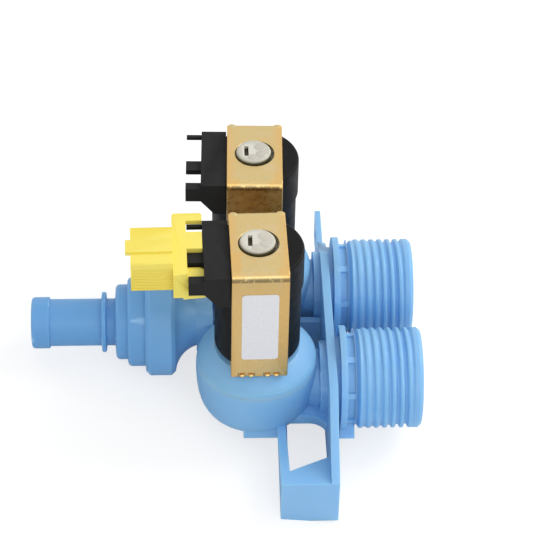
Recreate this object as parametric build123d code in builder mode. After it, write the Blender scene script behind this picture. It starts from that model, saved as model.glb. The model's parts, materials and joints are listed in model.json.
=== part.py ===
from build123d import *
from math import atan2, cos, degrees, hypot, radians, sin, sqrt
import os

# Twin solenoid water inlet valve. X runs out through the hose threads, Y from the front valve to
# the rear one, Z up along the coils. The origin is on the outer face of the mounting plate,
# halfway between the two inlets and level with their axes.

# The two valves
CHAMBER_R = 16.5
CHAMBER_GAP = 2.3
VALVE_PITCH = 2 * CHAMBER_R + CHAMBER_GAP
VALVE_Y = {"front": -VALVE_PITCH / 2, "rear": VALVE_PITCH / 2}
COIL_TURN = {"front": 1.0, "rear": -1.5}
RUNNING = 0.15
SNUG = 0.1
SEAL_GAP = 0.3

# Hose inlets
THREAD_R = 13.5
THREAD_DEPTH = 1.4
THREAD_ROOT_R = THREAD_R - THREAD_DEPTH
THREAD_END_X = 23.1
THREAD_START_X = 5.2
THREAD_LEAD = 1.7
INLET_WALL = 3.5
DUCT_SWELL = 0.2
SCREEN_LEDGE = 1.6
INLET_BORE_R = THREAD_R - INLET_WALL
DUCT_R = INLET_BORE_R + DUCT_SWELL
DUCT_BORE_R = INLET_BORE_R - SCREEN_LEDGE
DUCT_BORE_END_X = -2.0
INLET_PORT_R = 4.6
INLET_PORT_Z = 0.4
SCREEN_SHOULDER_X = 11.0

# Plate, panel slot and discs
PLATE_T = 2.2
PLATE_GAP = 2.1
PLATE_TOP_Z = 12.0
PLATE_BOTTOM_Z = -14.0
PLATE_FRONT_OUT = 15.3
PLATE_REAR_OUT = 13.3
PLATE_FRONT_Y = VALVE_Y["front"] - PLATE_FRONT_OUT
PLATE_REAR_Y = VALVE_Y["rear"] + PLATE_REAR_OUT
PLATE_CORNER_R = 3.0
DUCT_SHY = 0.3
DUCT_X = DUCT_SHY - PLATE_T - PLATE_GAP
COIL_X = -PLATE_T - PLATE_GAP - CHAMBER_R
PANEL_SLOT = 1.3
PANEL_CORE_IN = 2.1
PANEL_CORE_R = THREAD_R - PANEL_CORE_IN
DISC_T = 1.7
DISC_OUT = 0.7
DISC_R = THREAD_R + DISC_OUT
NECK_RIB_T = 1.6
NECK_RIB_H = 2.4
NECK_RIB_SINK = 0.6
NECK_RIBS = 8
KEY_OUT = 2.0
KEY_R = DISC_R + KEY_OUT
KEY_W = 7.0
KEY_TURN = 225.0
KEY_ROOT = 1.0
TAB_T = 1.5
TAB_L = 14.5
TAB_END_Y = PLATE_REAR_Y + TAB_L
TAB_H = 10.0
TAB_ROOT = 2.0
TAB_CORNER_R = 1.5
TAB_SCREW_D = 4.4

# Hook at the front of the plate
HOOK_W = 15.2
HOOK_WALL = 2.3
HOOK_OUT = 19.7
HOOK_FRONT_Y = PLATE_FRONT_Y - HOOK_OUT
HOOK_FACE_T = 2.2
HOOK_TOP_Z = -3.6
HOOK_BOTTOM_Z = -17.9
HOOK_WEB_T = 2.2
HOOK_WEB_LEFT = 4.8
HOOK_WEB_RIGHT = 9.8
SHELF_T = 2.7
SHELF_OUT = 11.3
SHELF_FRONT_Y = VALVE_Y["front"] - SHELF_OUT
SHELF_CORNER_R = 5.0
FOOT_RIB_L = 9.3
FOOT_RIB_T = 2.0
FOOT_RIB_IN = 3.0
FOOT_RIB_ROOT = 1.0

# Valve chambers
CHAMBER_WALL = 2.6
CHAMBER_BOTTOM_Z = -5.7
CHAMBER_FLOOR = 2.3
CHAMBER_EDGE = 2.2
CUP_RIM_Z = 8.2
DUCT_NECK_R = CUP_RIM_Z - SNUG
BEAD_T = 1.6
RIM_WALL = 1.5
BEAD_R = CHAMBER_R - RIM_WALL
NOZZLE_R = 5.6
NOZZLE_BORE_R = 4.0
NOZZLE_SEAT_Z = 4.6
CHANNEL_R = 3.9
CHANNEL_BORE_R = 2.8
CHANNEL_Z = 0.2
BONNET_SIDE_H = 2.0
BONNET_SLOPE_L = 5.1
BONNET_TOP_R = CHAMBER_R - BONNET_SLOPE_L
BONNET_EDGE_R = 1.6

# Diaphragm, its insert and the guide tube
MEMBRANE_T = 1.3
BEAD_W = 1.6
INSERT_STEM_R = 2.4
INSERT_STEM_L = 2.6
PILOT_BORE_R = 0.7
PILOT_TIP_R = 1.5
MEMBRANE_SPAN = 7.0
INSERT_R = BEAD_R - MEMBRANE_SPAN
INSERT_PLATE_T = 1.2
PILOT_TIP_Z = 8.6
PILOT_FLARE = 0.6
BLEED_R = 0.4
BLEED_IN = 1.6
BLEED_OUT = INSERT_R - BLEED_IN
GUIDE_FLANGE_T = 1.8
GUIDE_FLANGE_W = 4.5
GUIDE_HUB_WALL = 1.3
GUIDE_HUB_R = BEAD_R - GUIDE_FLANGE_W
PILOT_ROOM_R = GUIDE_HUB_R - GUIDE_HUB_WALL
GUIDE_HUB_T = 2.0
BONNET_ROOF = 1.9
GUIDE_R = 4.9
GUIDE_WALL = 0.8
GUIDE_BORE_R = GUIDE_R - GUIDE_WALL
GUIDE_ROOF = 1.9
TIP_IN = 0.2
TIP_R = GUIDE_R - TIP_IN
TIP_RISE = 0.9
TIP_EDGE_R = 0.8
TIP_SLOT_X = 1.9
TIP_SLOT_W = 1.1
TIP_SLOT_L = 4.0
TIP_SLOT_DEPTH = 1.3

# Plunger and spring
PLUNGER_PLAY = 0.2
PLUNGER_WALL = 1.0
PLUNGER_R = GUIDE_BORE_R - PLUNGER_PLAY
PLUNGER_SOCKET_R = PLUNGER_R - PLUNGER_WALL
PLUNGER_SOCKET = 9.5
PLUNGER_EDGE = 0.4
SEAL_WALL = 1.3
SEAL_R = PLUNGER_R - SEAL_WALL
SEAL_T = 2.2
SEAL_LIP = 0.4
TRAVEL = 2.5
SPRING_IN = 0.7
SPRING_R = PLUNGER_SOCKET_R - SPRING_IN
SPRING_WIRE_R = 0.35
SPRING_TURNS = 5

# Coil, sized from the tube outward
SLEEVE_T = 1.0
SLEEVE_R = GUIDE_R + SLEEVE_T
SLEEVE_L = 12.0
BOBBIN_WALL = 0.9
BOBBIN_R = SLEEVE_R + BOBBIN_WALL
WINDING_T = 2.4
WINDING_R = BOBBIN_R + WINDING_T
BOBBIN_LIP = 0.4
BOBBIN_FLANGE_R = WINDING_R + BOBBIN_LIP
BOBBIN_FLANGE_T = 1.2
COIL_WALL = 1.7
COIL_R = BOBBIN_FLANGE_R + COIL_WALL
COIL_HEAD_STEP = 0.5
COIL_HEAD_R = COIL_R + COIL_HEAD_STEP
COIL_HEAD_H = 11.2
COIL_EDGE_R = 0.8
COIL_CAP = 1.2

# Steel bracket round each coil
BRACKET_T = 1.3
BRACKET_PLAY = 0.1
BRACKET_W = 14.7
BRACKET_D = 2 * (COIL_R + BRACKET_PLAY + BRACKET_T)
BRACKET_H = 35.6
BRACKET_BEND_R = 1.9
BRACKET_HOLE_GAP = 0.5
BRACKET_FIT = 0.25
STAKE_W = 4.2
STAKE_PITCH = 6.6
STAKE_RISE = 0.6

# Terminal header on each coil
HEADER_OUT = 2.4
HEADER_REACH = COIL_HEAD_R + HEADER_OUT
HEADER_W = 22.3
HEADER_Y = -0.75
HEADER_H = 5.4
HEADER_SLOPE_H = 4.3
HEADER_ROOT_IN = 1.1
HEADER_ROOT = COIL_HEAD_R - HEADER_ROOT_IN
FINGER_L = 4.0
BACK_FINGER_T = 2.0
FRONT_FINGER_T = 1.4
FINGER_H = 1.4
FINGER_DROP = 2.2
KEY_BACK_GAP = 2.0
SECOND_FINGER_W = 4.4
SECOND_GAP_W = 5.8
KEYWAY_W = HEADER_W - SECOND_GAP_W - SECOND_FINGER_W - BACK_FINGER_T - FRONT_FINGER_T
SOCKET_W = 4.4
SOCKET_H = 2.8
SOCKET_DEPTH = 3.2
SOCKET_LOW = 0.7
BLADE_T = 0.8
BLADE_H = 2.0
BLADE_ROOT = 1.2
BLADE_SHY = 0.3
BLADE_TIP = 0.25

# Plug left on the front coil
COLLAR_GAP = 0.2
COLLAR_T = 3.6
PLUG_BODY_L = 10.7
COLLAR_END = HEADER_REACH + FINGER_L + COLLAR_GAP
PLUG_BODY_START = COLLAR_END + COLLAR_T
PLUG_END = PLUG_BODY_START + PLUG_BODY_L
PLUG_W = 14.1
PLUG_H = 8.7
PLUG_RISE = 0.4
PLUG_EDGE_R = 0.5
KEY_EDGE_R = 1.2
COLLAR_SIDE = 1.7
COLLAR_W = HEADER_W - 2 * COLLAR_SIDE
COLLAR_H = 9.0
LATCH_W = 2.9
LATCH_H = 4.2
LATCH_EDGE_R = 1.0
SKIRT_DROP = 1.8
SKIRT_TOE = 1.1
SKIRT_TOE_H = 2.2
WIRE_PITCH = 5.0
WIRE_PORT_D = 2.6
WIRE_PORT_L = 4.0
PLUG_RIDGE_W = 4.5
PLUG_RIDGE_Y = -0.8
PLUG_RIDGE_RISE = 0.6
PLUG_RIDGE_OUT = 1.3

# Inlet screen and flow washer
SCREEN_RIM_T = 1.6
SCREEN_FLOOR_T = 0.8
SCREEN_L = 7.0
SCREEN_IN = 2.0
SCREEN_R = INLET_BORE_R - SCREEN_IN
SCREEN_PITCH = 2.2
SCREEN_HOLE = 1.2
SCREEN_HOLES = 5
WASHER_T = 3.2
WASHER_HOLE_R = 2.6
RETAINER_T = 1.6
RETAINER_HOLE_R = 4.6

# Label on the front bracket
LABEL_W = 9.4
LABEL_H = 22.8
LABEL_T = 0.2
LABEL_CORNER_R = 0.9
LABEL_LOW = 6.6

# Outlet manifold and hose barb, the manifold kept clear of both bonnets
OUTLET_Z = 4.9
MANIFOLD_R = 6.6
MANIFOLD_BORE_R = 4.6
MANIFOLD_HALF = sqrt(MANIFOLD_R**2 - (CUP_RIM_Z - OUTLET_Z) ** 2)
MANIFOLD_START_X = COIL_X - sqrt((CHAMBER_R + SNUG) ** 2 - (VALVE_PITCH / 2 - MANIFOLD_HALF) ** 2)
FUNNEL_IN = 0.7
FUNNEL_START_X = COIL_X - CHAMBER_R + FUNNEL_IN
DRUM_OUT = 5.0
DRUM_X = COIL_X - CHAMBER_R - DRUM_OUT
DRUM_L = 8.2
DRUM_END_X = DRUM_X - DRUM_L
DRUM_R = 14.7
DRUM_EDGE = 1.2
DRUM_LIP = 1.5
FUNNEL_BOW_X = 0.7
FUNNEL_BOW_R = 0.32
DRUM_BORE_R = 12.4
DRUM_FLOOR = 2.2
OUTLET_STEP_L = 4.8
OUTLET_STEP_X = DRUM_END_X - OUTLET_STEP_L
OUTLET_STEP_R = 12.1
OUTLET_NOSE_L = 3.2
OUTLET_NOSE_X = OUTLET_STEP_X - OUTLET_NOSE_L
OUTLET_NOSE_R = 10.2
BARB_R = 6.4
STOP_RING_OUT = 2.9
STOP_RING_X = OUTLET_NOSE_X - STOP_RING_OUT
STOP_RING_T = 1.6
STOP_RING_R = 8.2
BARB_L = 15.0
BARB_BEAD_L = 4.9
BEAD_START_X = STOP_RING_X - BARB_L
BARB_END_X = BEAD_START_X - BARB_BEAD_L
BARB_BEAD_R = 7.0
BEAD_EDGE_R = 0.5
BARB_BORE_R = 4.5
FITTING_SPIGOT = 3.0
STEP_EDGE_R = 1.1

# Places worked out from the sizes above
RIM_BEAD_Z = CUP_RIM_Z - BEAD_T
MEMBRANE_TOP_Z = NOZZLE_SEAT_Z + MEMBRANE_T
FLANGE_TOP_Z = CUP_RIM_Z + GUIDE_FLANGE_T
HUB_TOP_Z = FLANGE_TOP_Z + GUIDE_HUB_T
SEAT_Z = HUB_TOP_Z + BONNET_ROOF
GUIDE_TOP_Z = SEAT_Z + BRACKET_H + TIP_RISE
SPRING_TOP_Z = GUIDE_TOP_Z - GUIDE_ROOF
PLUNGER_TOP_Z = SPRING_TOP_Z - TRAVEL - SEAL_GAP
SPRING_FOOT_Z = PLUNGER_TOP_Z - PLUNGER_SOCKET
SEAL_Z = PILOT_TIP_Z + SEAL_GAP
COIL_BASE_Z = SEAT_Z + BRACKET_T
COIL_TOP_Z = SEAT_Z + BRACKET_H - BRACKET_T
HEADER_MID_Z = COIL_TOP_Z - HEADER_H / 2
SOCKET_Z = HEADER_MID_Z - SOCKET_LOW
HEADER_BACK_Y = HEADER_Y + HEADER_W / 2
HEADER_FRONT_Y = HEADER_Y - HEADER_W / 2
MIDDLE_FINGER_Y = HEADER_FRONT_Y + FRONT_FINGER_T + SECOND_GAP_W + SECOND_FINGER_W / 2
KEYWAY_FRONT_Y = MIDDLE_FINGER_Y + SECOND_FINGER_W / 2
FIRST_KEY_W = KEYWAY_W - KEY_BACK_GAP
FIRST_KEY_Y = KEYWAY_FRONT_Y + FIRST_KEY_W / 2
FINGER_TOP_Z = COIL_TOP_Z - FINGER_DROP
SECOND_GAP_Y = HEADER_FRONT_Y + FRONT_FINGER_T + SECOND_GAP_W / 2
BLADE_Y = {"a": FIRST_KEY_Y, "b": SECOND_GAP_Y}
DISC_X = PANEL_SLOT
NECK_X = PANEL_SLOT + DISC_T

os.makedirs("parts", exist_ok=True)


def write_piece(name, built):
    """Label one finished piece and write it."""
    built.part.label = name
    export_step(built.part, f"parts/{name}.step")


def write_pair(name, built, turned=False):
    """Write one piece for each valve, moved to its place and turned with its coil if it rides on it."""
    for side, y in VALVE_Y.items():
        turn = COIL_TURN[side] if turned else 0
        piece = built.part.moved(Location((COIL_X, y, 0), (0, 0, turn)))
        piece.label = f"{name}_{side}"
        export_step(piece, f"parts/{name}_{side}.step")


# Channel from each nozzle to the manifold, in plan
CHANNEL_END_X = MANIFOLD_START_X - MANIFOLD_BORE_R
CHANNEL_RUN = hypot(CHANNEL_END_X - COIL_X, VALVE_PITCH / 2)
CHANNEL_TURN = degrees(atan2(VALVE_PITCH / 2, CHANNEL_END_X - COIL_X))

# Body moulding: plate, chambers, spigots, manifold drum and hook in one piece
with BuildPart() as valve_body:
    chamber_places = [(COIL_X, y, CHAMBER_BOTTOM_Z) for y in VALVE_Y.values()]
    stand = (Align.CENTER, Align.CENTER, Align.MIN)
    hang = (Align.CENTER, Align.CENTER, Align.MAX)
    with Locations(*chamber_places):
        Cone(CHAMBER_R - CHAMBER_EDGE, CHAMBER_R, CHAMBER_EDGE, align=stand)
    with Locations(*[(COIL_X, y, CUP_RIM_Z) for y in VALVE_Y.values()]):
        Cylinder(CHAMBER_R, CUP_RIM_Z - CHAMBER_BOTTOM_Z - CHAMBER_EDGE, align=hang)

    # Mounting plate with its front edge sloping down to the hook
    with BuildSketch(Plane.YZ) as plate_outline:
        with BuildLine():
            Polyline(
                (PLATE_FRONT_Y, PLATE_TOP_Z),
                (PLATE_REAR_Y - PLATE_TOP_Z, PLATE_TOP_Z),
                (PLATE_REAR_Y, TAB_H / 2),
                (PLATE_REAR_Y, -TAB_H / 2),
                (PLATE_REAR_Y + PLATE_BOTTOM_Z / 2, PLATE_BOTTOM_Z),
                (PLATE_FRONT_Y, PLATE_BOTTOM_Z),
                (HOOK_FRONT_Y, HOOK_BOTTOM_Z),
                (HOOK_FRONT_Y, HOOK_TOP_Z),
                close=True,
            )
        make_face()
        fillet(plate_outline.vertices().group_by(Axis.Y)[-1], PLATE_CORNER_R)
    extrude(amount=-PLATE_T)

    # Thin screw tab behind the plate
    with BuildSketch(Plane.YZ.offset(TAB_T - PLATE_T)) as tab_outline:
        with Locations(((PLATE_REAR_Y + TAB_END_Y - TAB_ROOT) / 2, 0)):
            Rectangle(TAB_END_Y - PLATE_REAR_Y + TAB_ROOT, TAB_H)
        fillet(tab_outline.vertices().group_by(Axis.X)[-1], TAB_CORNER_R)
        with Locations(((PLATE_REAR_Y + TAB_END_Y) / 2, 0)):
            Circle(TAB_SCREW_D / 2, mode=Mode.SUBTRACT)
    extrude(amount=-TAB_T)

    # Inlet ducts, discs, necks and spigots
    inlet_places = [(y, 0) for y in VALVE_Y.values()]
    with BuildSketch(Plane.YZ.offset(COIL_X)):
        with Locations(*inlet_places):
            Circle(DUCT_NECK_R)
    extrude(amount=-COIL_X)
    with BuildSketch(Plane.YZ.offset(DUCT_X)):
        with Locations(*inlet_places):
            Circle(DUCT_R)
    extrude(amount=-DUCT_X)
    with BuildSketch(Plane.YZ):
        with Locations(*inlet_places):
            Circle(PANEL_CORE_R)
    extrude(amount=NECK_X)
    with BuildSketch(Plane.YZ.offset(NECK_X)):
        with Locations(*inlet_places):
            Circle(THREAD_ROOT_R)
    extrude(amount=THREAD_START_X - NECK_X)
    with BuildSketch(Plane.YZ.offset(DISC_X)):
        with Locations(*inlet_places):
            Circle(DISC_R)
    extrude(amount=DISC_T)
    with BuildSketch(Plane.YZ.offset(THREAD_START_X)):
        with Locations(*inlet_places):
            Circle(THREAD_R)
    extrude(amount=THREAD_END_X - THREAD_START_X)
    end_edges = valve_body.edges().filter_by(GeomType.CIRCLE).group_by(Axis.X)[-1]
    chamfer(end_edges, THREAD_R - THREAD_ROOT_R, THREAD_LEAD)

    # Ribs across each neck, and the key below the front one
    with BuildSketch(Plane.YZ.offset(NECK_X)) as neck_ribs:
        for y in VALVE_Y.values():
            with Locations((y, 0)):
                with PolarLocations(THREAD_ROOT_R - NECK_RIB_SINK, NECK_RIBS, start_angle=180 / NECK_RIBS):
                    Rectangle(NECK_RIB_H, NECK_RIB_T)
    extrude(amount=THREAD_START_X - NECK_X)
    with BuildSketch(Plane.YZ.offset(DISC_X)) as key_outline:
        with Locations((VALVE_Y["front"], 0)):
            with PolarLocations((KEY_R + PANEL_CORE_R - KEY_ROOT) / 2, 1, start_angle=KEY_TURN):
                Rectangle(KEY_R - PANEL_CORE_R + KEY_ROOT, KEY_W)
    extrude(amount=THREAD_START_X - DISC_X)

    # Shelf under the front duct with a round gusset into the plate
    with BuildSketch(Plane.XY.offset(CHAMBER_BOTTOM_Z)) as shelf_outline:
        with BuildLine():
            Line((COIL_X, VALVE_Y["front"]), (COIL_X, SHELF_FRONT_Y))
            Line((COIL_X, SHELF_FRONT_Y), (-PLATE_T - SHELF_CORNER_R, SHELF_FRONT_Y))
            RadiusArc(
                (-PLATE_T - SHELF_CORNER_R, SHELF_FRONT_Y),
                (-PLATE_T, SHELF_FRONT_Y - SHELF_CORNER_R),
                SHELF_CORNER_R,
            )
            Line((-PLATE_T, SHELF_FRONT_Y - SHELF_CORNER_R), (-PLATE_T, VALVE_Y["front"]))
            Line((-PLATE_T, VALVE_Y["front"]), (COIL_X, VALVE_Y["front"]))
        make_face()
    extrude(amount=SHELF_T)

    # Hook: front face, slanted web and left arm
    with BuildSketch(Plane.XZ.offset(-HOOK_FRONT_Y)) as hook_face:
        with Locations((-HOOK_W / 2, (HOOK_TOP_Z + HOOK_BOTTOM_Z) / 2)):
            Rectangle(HOOK_W, HOOK_TOP_Z - HOOK_BOTTOM_Z)
    extrude(amount=-HOOK_FACE_T)
    with BuildSketch(Plane.XY.offset(HOOK_TOP_Z)) as hook_web:
        with BuildLine():
            Polyline(
                (-HOOK_W, HOOK_FRONT_Y),
                (-HOOK_W, HOOK_FRONT_Y + HOOK_WEB_LEFT),
                (-HOOK_W + HOOK_WALL, HOOK_FRONT_Y + HOOK_WEB_LEFT),
                (-PLATE_T, HOOK_FRONT_Y + HOOK_WEB_RIGHT),
                (-PLATE_T, HOOK_FRONT_Y),
                close=True,
            )
        make_face()
    extrude(amount=-HOOK_WEB_T)
    with BuildSketch(Plane.YZ.offset(-HOOK_W)) as hook_arm:
        with BuildLine():
            Polyline(
                (VALVE_Y["front"] - CHAMBER_R / 2, HOOK_TOP_Z),
                (HOOK_FRONT_Y, HOOK_TOP_Z),
                (HOOK_FRONT_Y, HOOK_BOTTOM_Z),
                (HOOK_FRONT_Y + HOOK_FACE_T, HOOK_BOTTOM_Z),
                (VALVE_Y["front"] - CHAMBER_R, CHAMBER_BOTTOM_Z - FOOT_RIB_T),
                (VALVE_Y["front"] - CHAMBER_R / 2, CHAMBER_BOTTOM_Z - FOOT_RIB_T),
                close=True,
            )
        make_face()
    extrude(amount=HOOK_WALL)
    with BuildSketch(Plane.XY.offset(CHAMBER_BOTTOM_Z - FOOT_RIB_T)) as foot_rib:
        with Locations((-HOOK_W - FOOT_RIB_L / 2, VALVE_Y["front"] - CHAMBER_R + FOOT_RIB_IN)):
            Rectangle(FOOT_RIB_L, FOOT_RIB_T)
    extrude(amount=FOOT_RIB_T + FOOT_RIB_ROOT)

    # Manifold, funnel and drum turned about the outlet axis
    with BuildSketch(Plane.XZ) as manifold_profile:
        with BuildLine():
            funnel_l = DRUM_X - FUNNEL_START_X
            bow_x = FUNNEL_START_X + funnel_l * FUNNEL_BOW_X
            bow_z = OUTLET_Z + MANIFOLD_R + (DRUM_R - MANIFOLD_R) * FUNNEL_BOW_R
            lip_z = OUTLET_Z + DRUM_R - DRUM_LIP
            Line((MANIFOLD_START_X, OUTLET_Z), (MANIFOLD_START_X, OUTLET_Z + MANIFOLD_R))
            Line((MANIFOLD_START_X, OUTLET_Z + MANIFOLD_R), (FUNNEL_START_X, OUTLET_Z + MANIFOLD_R))
            ThreePointArc(
                (FUNNEL_START_X, OUTLET_Z + MANIFOLD_R),
                (bow_x, bow_z),
                (DRUM_X, lip_z),
            )
            Line((DRUM_X, lip_z), (DRUM_X, OUTLET_Z + DRUM_R))
            Line((DRUM_X, OUTLET_Z + DRUM_R), (DRUM_END_X, OUTLET_Z + DRUM_R))
            Line((DRUM_END_X, OUTLET_Z + DRUM_R), (DRUM_END_X, OUTLET_Z))
            Line((DRUM_END_X, OUTLET_Z), (MANIFOLD_START_X, OUTLET_Z))
        make_face()
        drum_corners = manifold_profile.vertices().group_by(Axis.Y)[-1]
        chamfer(drum_corners, DRUM_EDGE)
    outlet_axis = Axis((0, 0, OUTLET_Z), (1, 0, 0))
    revolve(axis=outlet_axis)

    # Chamber cavities with a ledge for the diaphragm's bead
    with Locations(*[(COIL_X, y, CHAMBER_BOTTOM_Z + CHAMBER_FLOOR) for y in VALVE_Y.values()]):
        Cylinder(
            CHAMBER_R - CHAMBER_WALL,
            CUP_RIM_Z - CHAMBER_BOTTOM_Z,
            align=stand,
            mode=Mode.SUBTRACT,
        )
    with Locations(*[(COIL_X, y, RIM_BEAD_Z) for y in VALVE_Y.values()]):
        Cylinder(BEAD_R, BEAD_T * 2, align=stand, mode=Mode.SUBTRACT)

    # Nozzles and the channels that lead from them to the manifold
    with Locations(*chamber_places):
        Cylinder(NOZZLE_R, NOZZLE_SEAT_Z - CHAMBER_BOTTOM_Z, align=stand)
    for y in VALVE_Y.values():
        turn = CHANNEL_TURN if y < 0 else -CHANNEL_TURN
        channel_plane = Plane(
            origin=(COIL_X, y, CHANNEL_Z),
            z_dir=(cos(radians(turn)), sin(radians(turn)), 0),
        )
        with BuildSketch(channel_plane):
            Circle(CHANNEL_R)
        extrude(amount=CHANNEL_RUN - MANIFOLD_BORE_R)
    for y in VALVE_Y.values():
        turn = CHANNEL_TURN if y < 0 else -CHANNEL_TURN
        channel_plane = Plane(
            origin=(COIL_X, y, CHANNEL_Z),
            z_dir=(cos(radians(turn)), sin(radians(turn)), 0),
        )
        with BuildSketch(channel_plane):
            Circle(CHANNEL_BORE_R)
        extrude(amount=CHANNEL_RUN, mode=Mode.SUBTRACT)
    with Locations(*[(COIL_X, y, CHANNEL_Z) for y in VALVE_Y.values()]):
        Cylinder(
            NOZZLE_BORE_R,
            NOZZLE_SEAT_Z - CHANNEL_Z,
            align=stand,
            mode=Mode.SUBTRACT,
        )

    # Manifold bore and drum cavity
    with BuildSketch(Plane.YZ.offset(MANIFOLD_START_X - MANIFOLD_R + MANIFOLD_BORE_R)):
        with Locations((0, OUTLET_Z)):
            Circle(MANIFOLD_BORE_R)
    extrude(amount=DRUM_END_X - MANIFOLD_START_X, mode=Mode.SUBTRACT)
    with BuildSketch(Plane.YZ.offset(DRUM_END_X)):
        with Locations((0, OUTLET_Z)):
            Circle(DRUM_BORE_R)
    extrude(amount=DRUM_X - DRUM_END_X - DRUM_FLOOR, mode=Mode.SUBTRACT)

    # Inlet bores: wide for the hose washer and screen, narrower behind the shoulder
    with BuildSketch(Plane.YZ.offset(THREAD_END_X)):
        with Locations(*inlet_places):
            Circle(INLET_BORE_R)
    extrude(amount=SCREEN_SHOULDER_X - THREAD_END_X, mode=Mode.SUBTRACT)
    with BuildSketch(Plane.YZ.offset(SCREEN_SHOULDER_X)):
        with Locations(*inlet_places):
            Circle(DUCT_BORE_R)
    extrude(amount=DUCT_BORE_END_X - SCREEN_SHOULDER_X, mode=Mode.SUBTRACT)
    with BuildSketch(Plane.YZ.offset(DUCT_BORE_END_X)):
        with Locations(*[(y, INLET_PORT_Z) for y in VALVE_Y.values()]):
            Circle(INLET_PORT_R)
    extrude(amount=COIL_X + NOZZLE_R + CHANNEL_R - DUCT_BORE_END_X, mode=Mode.SUBTRACT)
write_piece("valve_body", valve_body)

# Outlet fitting welded into the drum: mixing cap, neck, stop ring and hose barb
with BuildPart() as outlet_fitting:
    with BuildSketch(Plane.XZ) as fitting_profile:
        with BuildLine():
            Polyline(
                (DRUM_END_X + FITTING_SPIGOT, OUTLET_Z + BARB_BORE_R),
                (DRUM_END_X + FITTING_SPIGOT, OUTLET_Z + DRUM_BORE_R - SNUG),
                (DRUM_END_X, OUTLET_Z + DRUM_BORE_R - SNUG),
                (DRUM_END_X, OUTLET_Z + OUTLET_STEP_R),
                (OUTLET_STEP_X, OUTLET_Z + OUTLET_STEP_R),
                (OUTLET_STEP_X, OUTLET_Z + OUTLET_NOSE_R),
                (OUTLET_NOSE_X, OUTLET_Z + OUTLET_NOSE_R),
                (OUTLET_NOSE_X, OUTLET_Z + BARB_R),
                (STOP_RING_X, OUTLET_Z + BARB_R),
                (STOP_RING_X, OUTLET_Z + STOP_RING_R),
                (STOP_RING_X - STOP_RING_T, OUTLET_Z + STOP_RING_R),
                (STOP_RING_X - STOP_RING_T, OUTLET_Z + BARB_R),
                (BEAD_START_X, OUTLET_Z + BARB_R),
                (BEAD_START_X, OUTLET_Z + BARB_BEAD_R),
                (BARB_END_X, OUTLET_Z + BARB_BEAD_R),
                (BARB_END_X, OUTLET_Z + BARB_BORE_R),
                close=True,
            )
        make_face()
        step_corners = fitting_profile.vertices().filter_by(
            lambda v: abs(v.X - OUTLET_STEP_X) < SNUG and v.Y > OUTLET_Z + OUTLET_STEP_R - SNUG
        )
        nose_corners = fitting_profile.vertices().filter_by(
            lambda v: abs(v.X - OUTLET_NOSE_X) < SNUG and v.Y > OUTLET_Z + OUTLET_NOSE_R - SNUG
        )
        fillet(step_corners + nose_corners, STEP_EDGE_R)
        bead_corners = fitting_profile.vertices().filter_by(
            lambda v: v.X < BEAD_START_X + SNUG and v.Y > OUTLET_Z + BARB_BEAD_R - SNUG
        )
        fillet(bead_corners, BEAD_EDGE_R)
    revolve(axis=outlet_axis)
write_piece("outlet_fitting", outlet_fitting)

# Bonnet: the sloping ring over each chamber that holds the guide tube's flange down
with BuildPart() as bonnet:
    with BuildSketch(Plane.XZ) as bonnet_profile:
        with BuildLine():
            Polyline(
                (BEAD_R + SNUG, CUP_RIM_Z),
                (CHAMBER_R, CUP_RIM_Z),
                (CHAMBER_R, CUP_RIM_Z + BONNET_SIDE_H),
                (BONNET_TOP_R, SEAT_Z),
                (GUIDE_R + RUNNING, SEAT_Z),
                (GUIDE_R + RUNNING, HUB_TOP_Z),
                (GUIDE_HUB_R + SNUG, HUB_TOP_Z),
                (GUIDE_HUB_R + SNUG, FLANGE_TOP_Z),
                (BEAD_R + SNUG, FLANGE_TOP_Z),
                close=True,
            )
        make_face()
        shoulder = bonnet_profile.vertices().group_by(Axis.X)[-1].sort_by(Axis.Y)[-1]
        fillet(shoulder, BONNET_EDGE_R)
    revolve(axis=Axis.Z)
write_pair("bonnet", bonnet)

# Guide tube: flange, hub, closed tube and the slotted tip that shows through the bracket
with BuildPart() as guide_tube:
    with BuildSketch(Plane.XZ) as guide_profile:
        with BuildLine():
            Polyline(
                (PILOT_ROOM_R, CUP_RIM_Z),
                (BEAD_R, CUP_RIM_Z),
                (BEAD_R, FLANGE_TOP_Z),
                (GUIDE_HUB_R, FLANGE_TOP_Z),
                (GUIDE_HUB_R, HUB_TOP_Z),
                (GUIDE_R, HUB_TOP_Z),
                (GUIDE_R, COIL_TOP_Z),
                (TIP_R, COIL_TOP_Z),
                (TIP_R, GUIDE_TOP_Z),
                (0, GUIDE_TOP_Z),
                (0, SPRING_TOP_Z),
                (GUIDE_BORE_R, SPRING_TOP_Z),
                (GUIDE_BORE_R, FLANGE_TOP_Z),
                (PILOT_ROOM_R, FLANGE_TOP_Z),
                close=True,
            )
        make_face()
        tip_corner = guide_profile.vertices().group_by(Axis.Y)[-1].sort_by(Axis.X)[-1]
        fillet(tip_corner, TIP_EDGE_R)
    revolve(axis=Axis.Z)
    with Locations((-TIP_SLOT_X, 0, GUIDE_TOP_Z)):
        Box(TIP_SLOT_W, TIP_SLOT_L, 2 * TIP_SLOT_DEPTH, mode=Mode.SUBTRACT)
write_pair("guide_tube", guide_tube)

# Plunger with a socket for the spring above and one for the rubber seal below
with BuildPart() as plunger:
    with Locations((0, 0, SEAL_Z + SEAL_LIP)):
        Cylinder(PLUNGER_R, PLUNGER_TOP_Z - SEAL_Z - SEAL_LIP, align=stand)
    chamfer(plunger.edges().group_by(Axis.Z)[-1], PLUNGER_EDGE)
    with Locations((0, 0, PLUNGER_TOP_Z)):
        Cylinder(
            PLUNGER_SOCKET_R,
            PLUNGER_SOCKET,
            align=hang,
            mode=Mode.SUBTRACT,
        )
    with Locations((0, 0, SEAL_Z)):
        Cylinder(SEAL_R, SEAL_T, align=stand, mode=Mode.SUBTRACT)
write_pair("plunger", plunger, turned=True)

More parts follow.
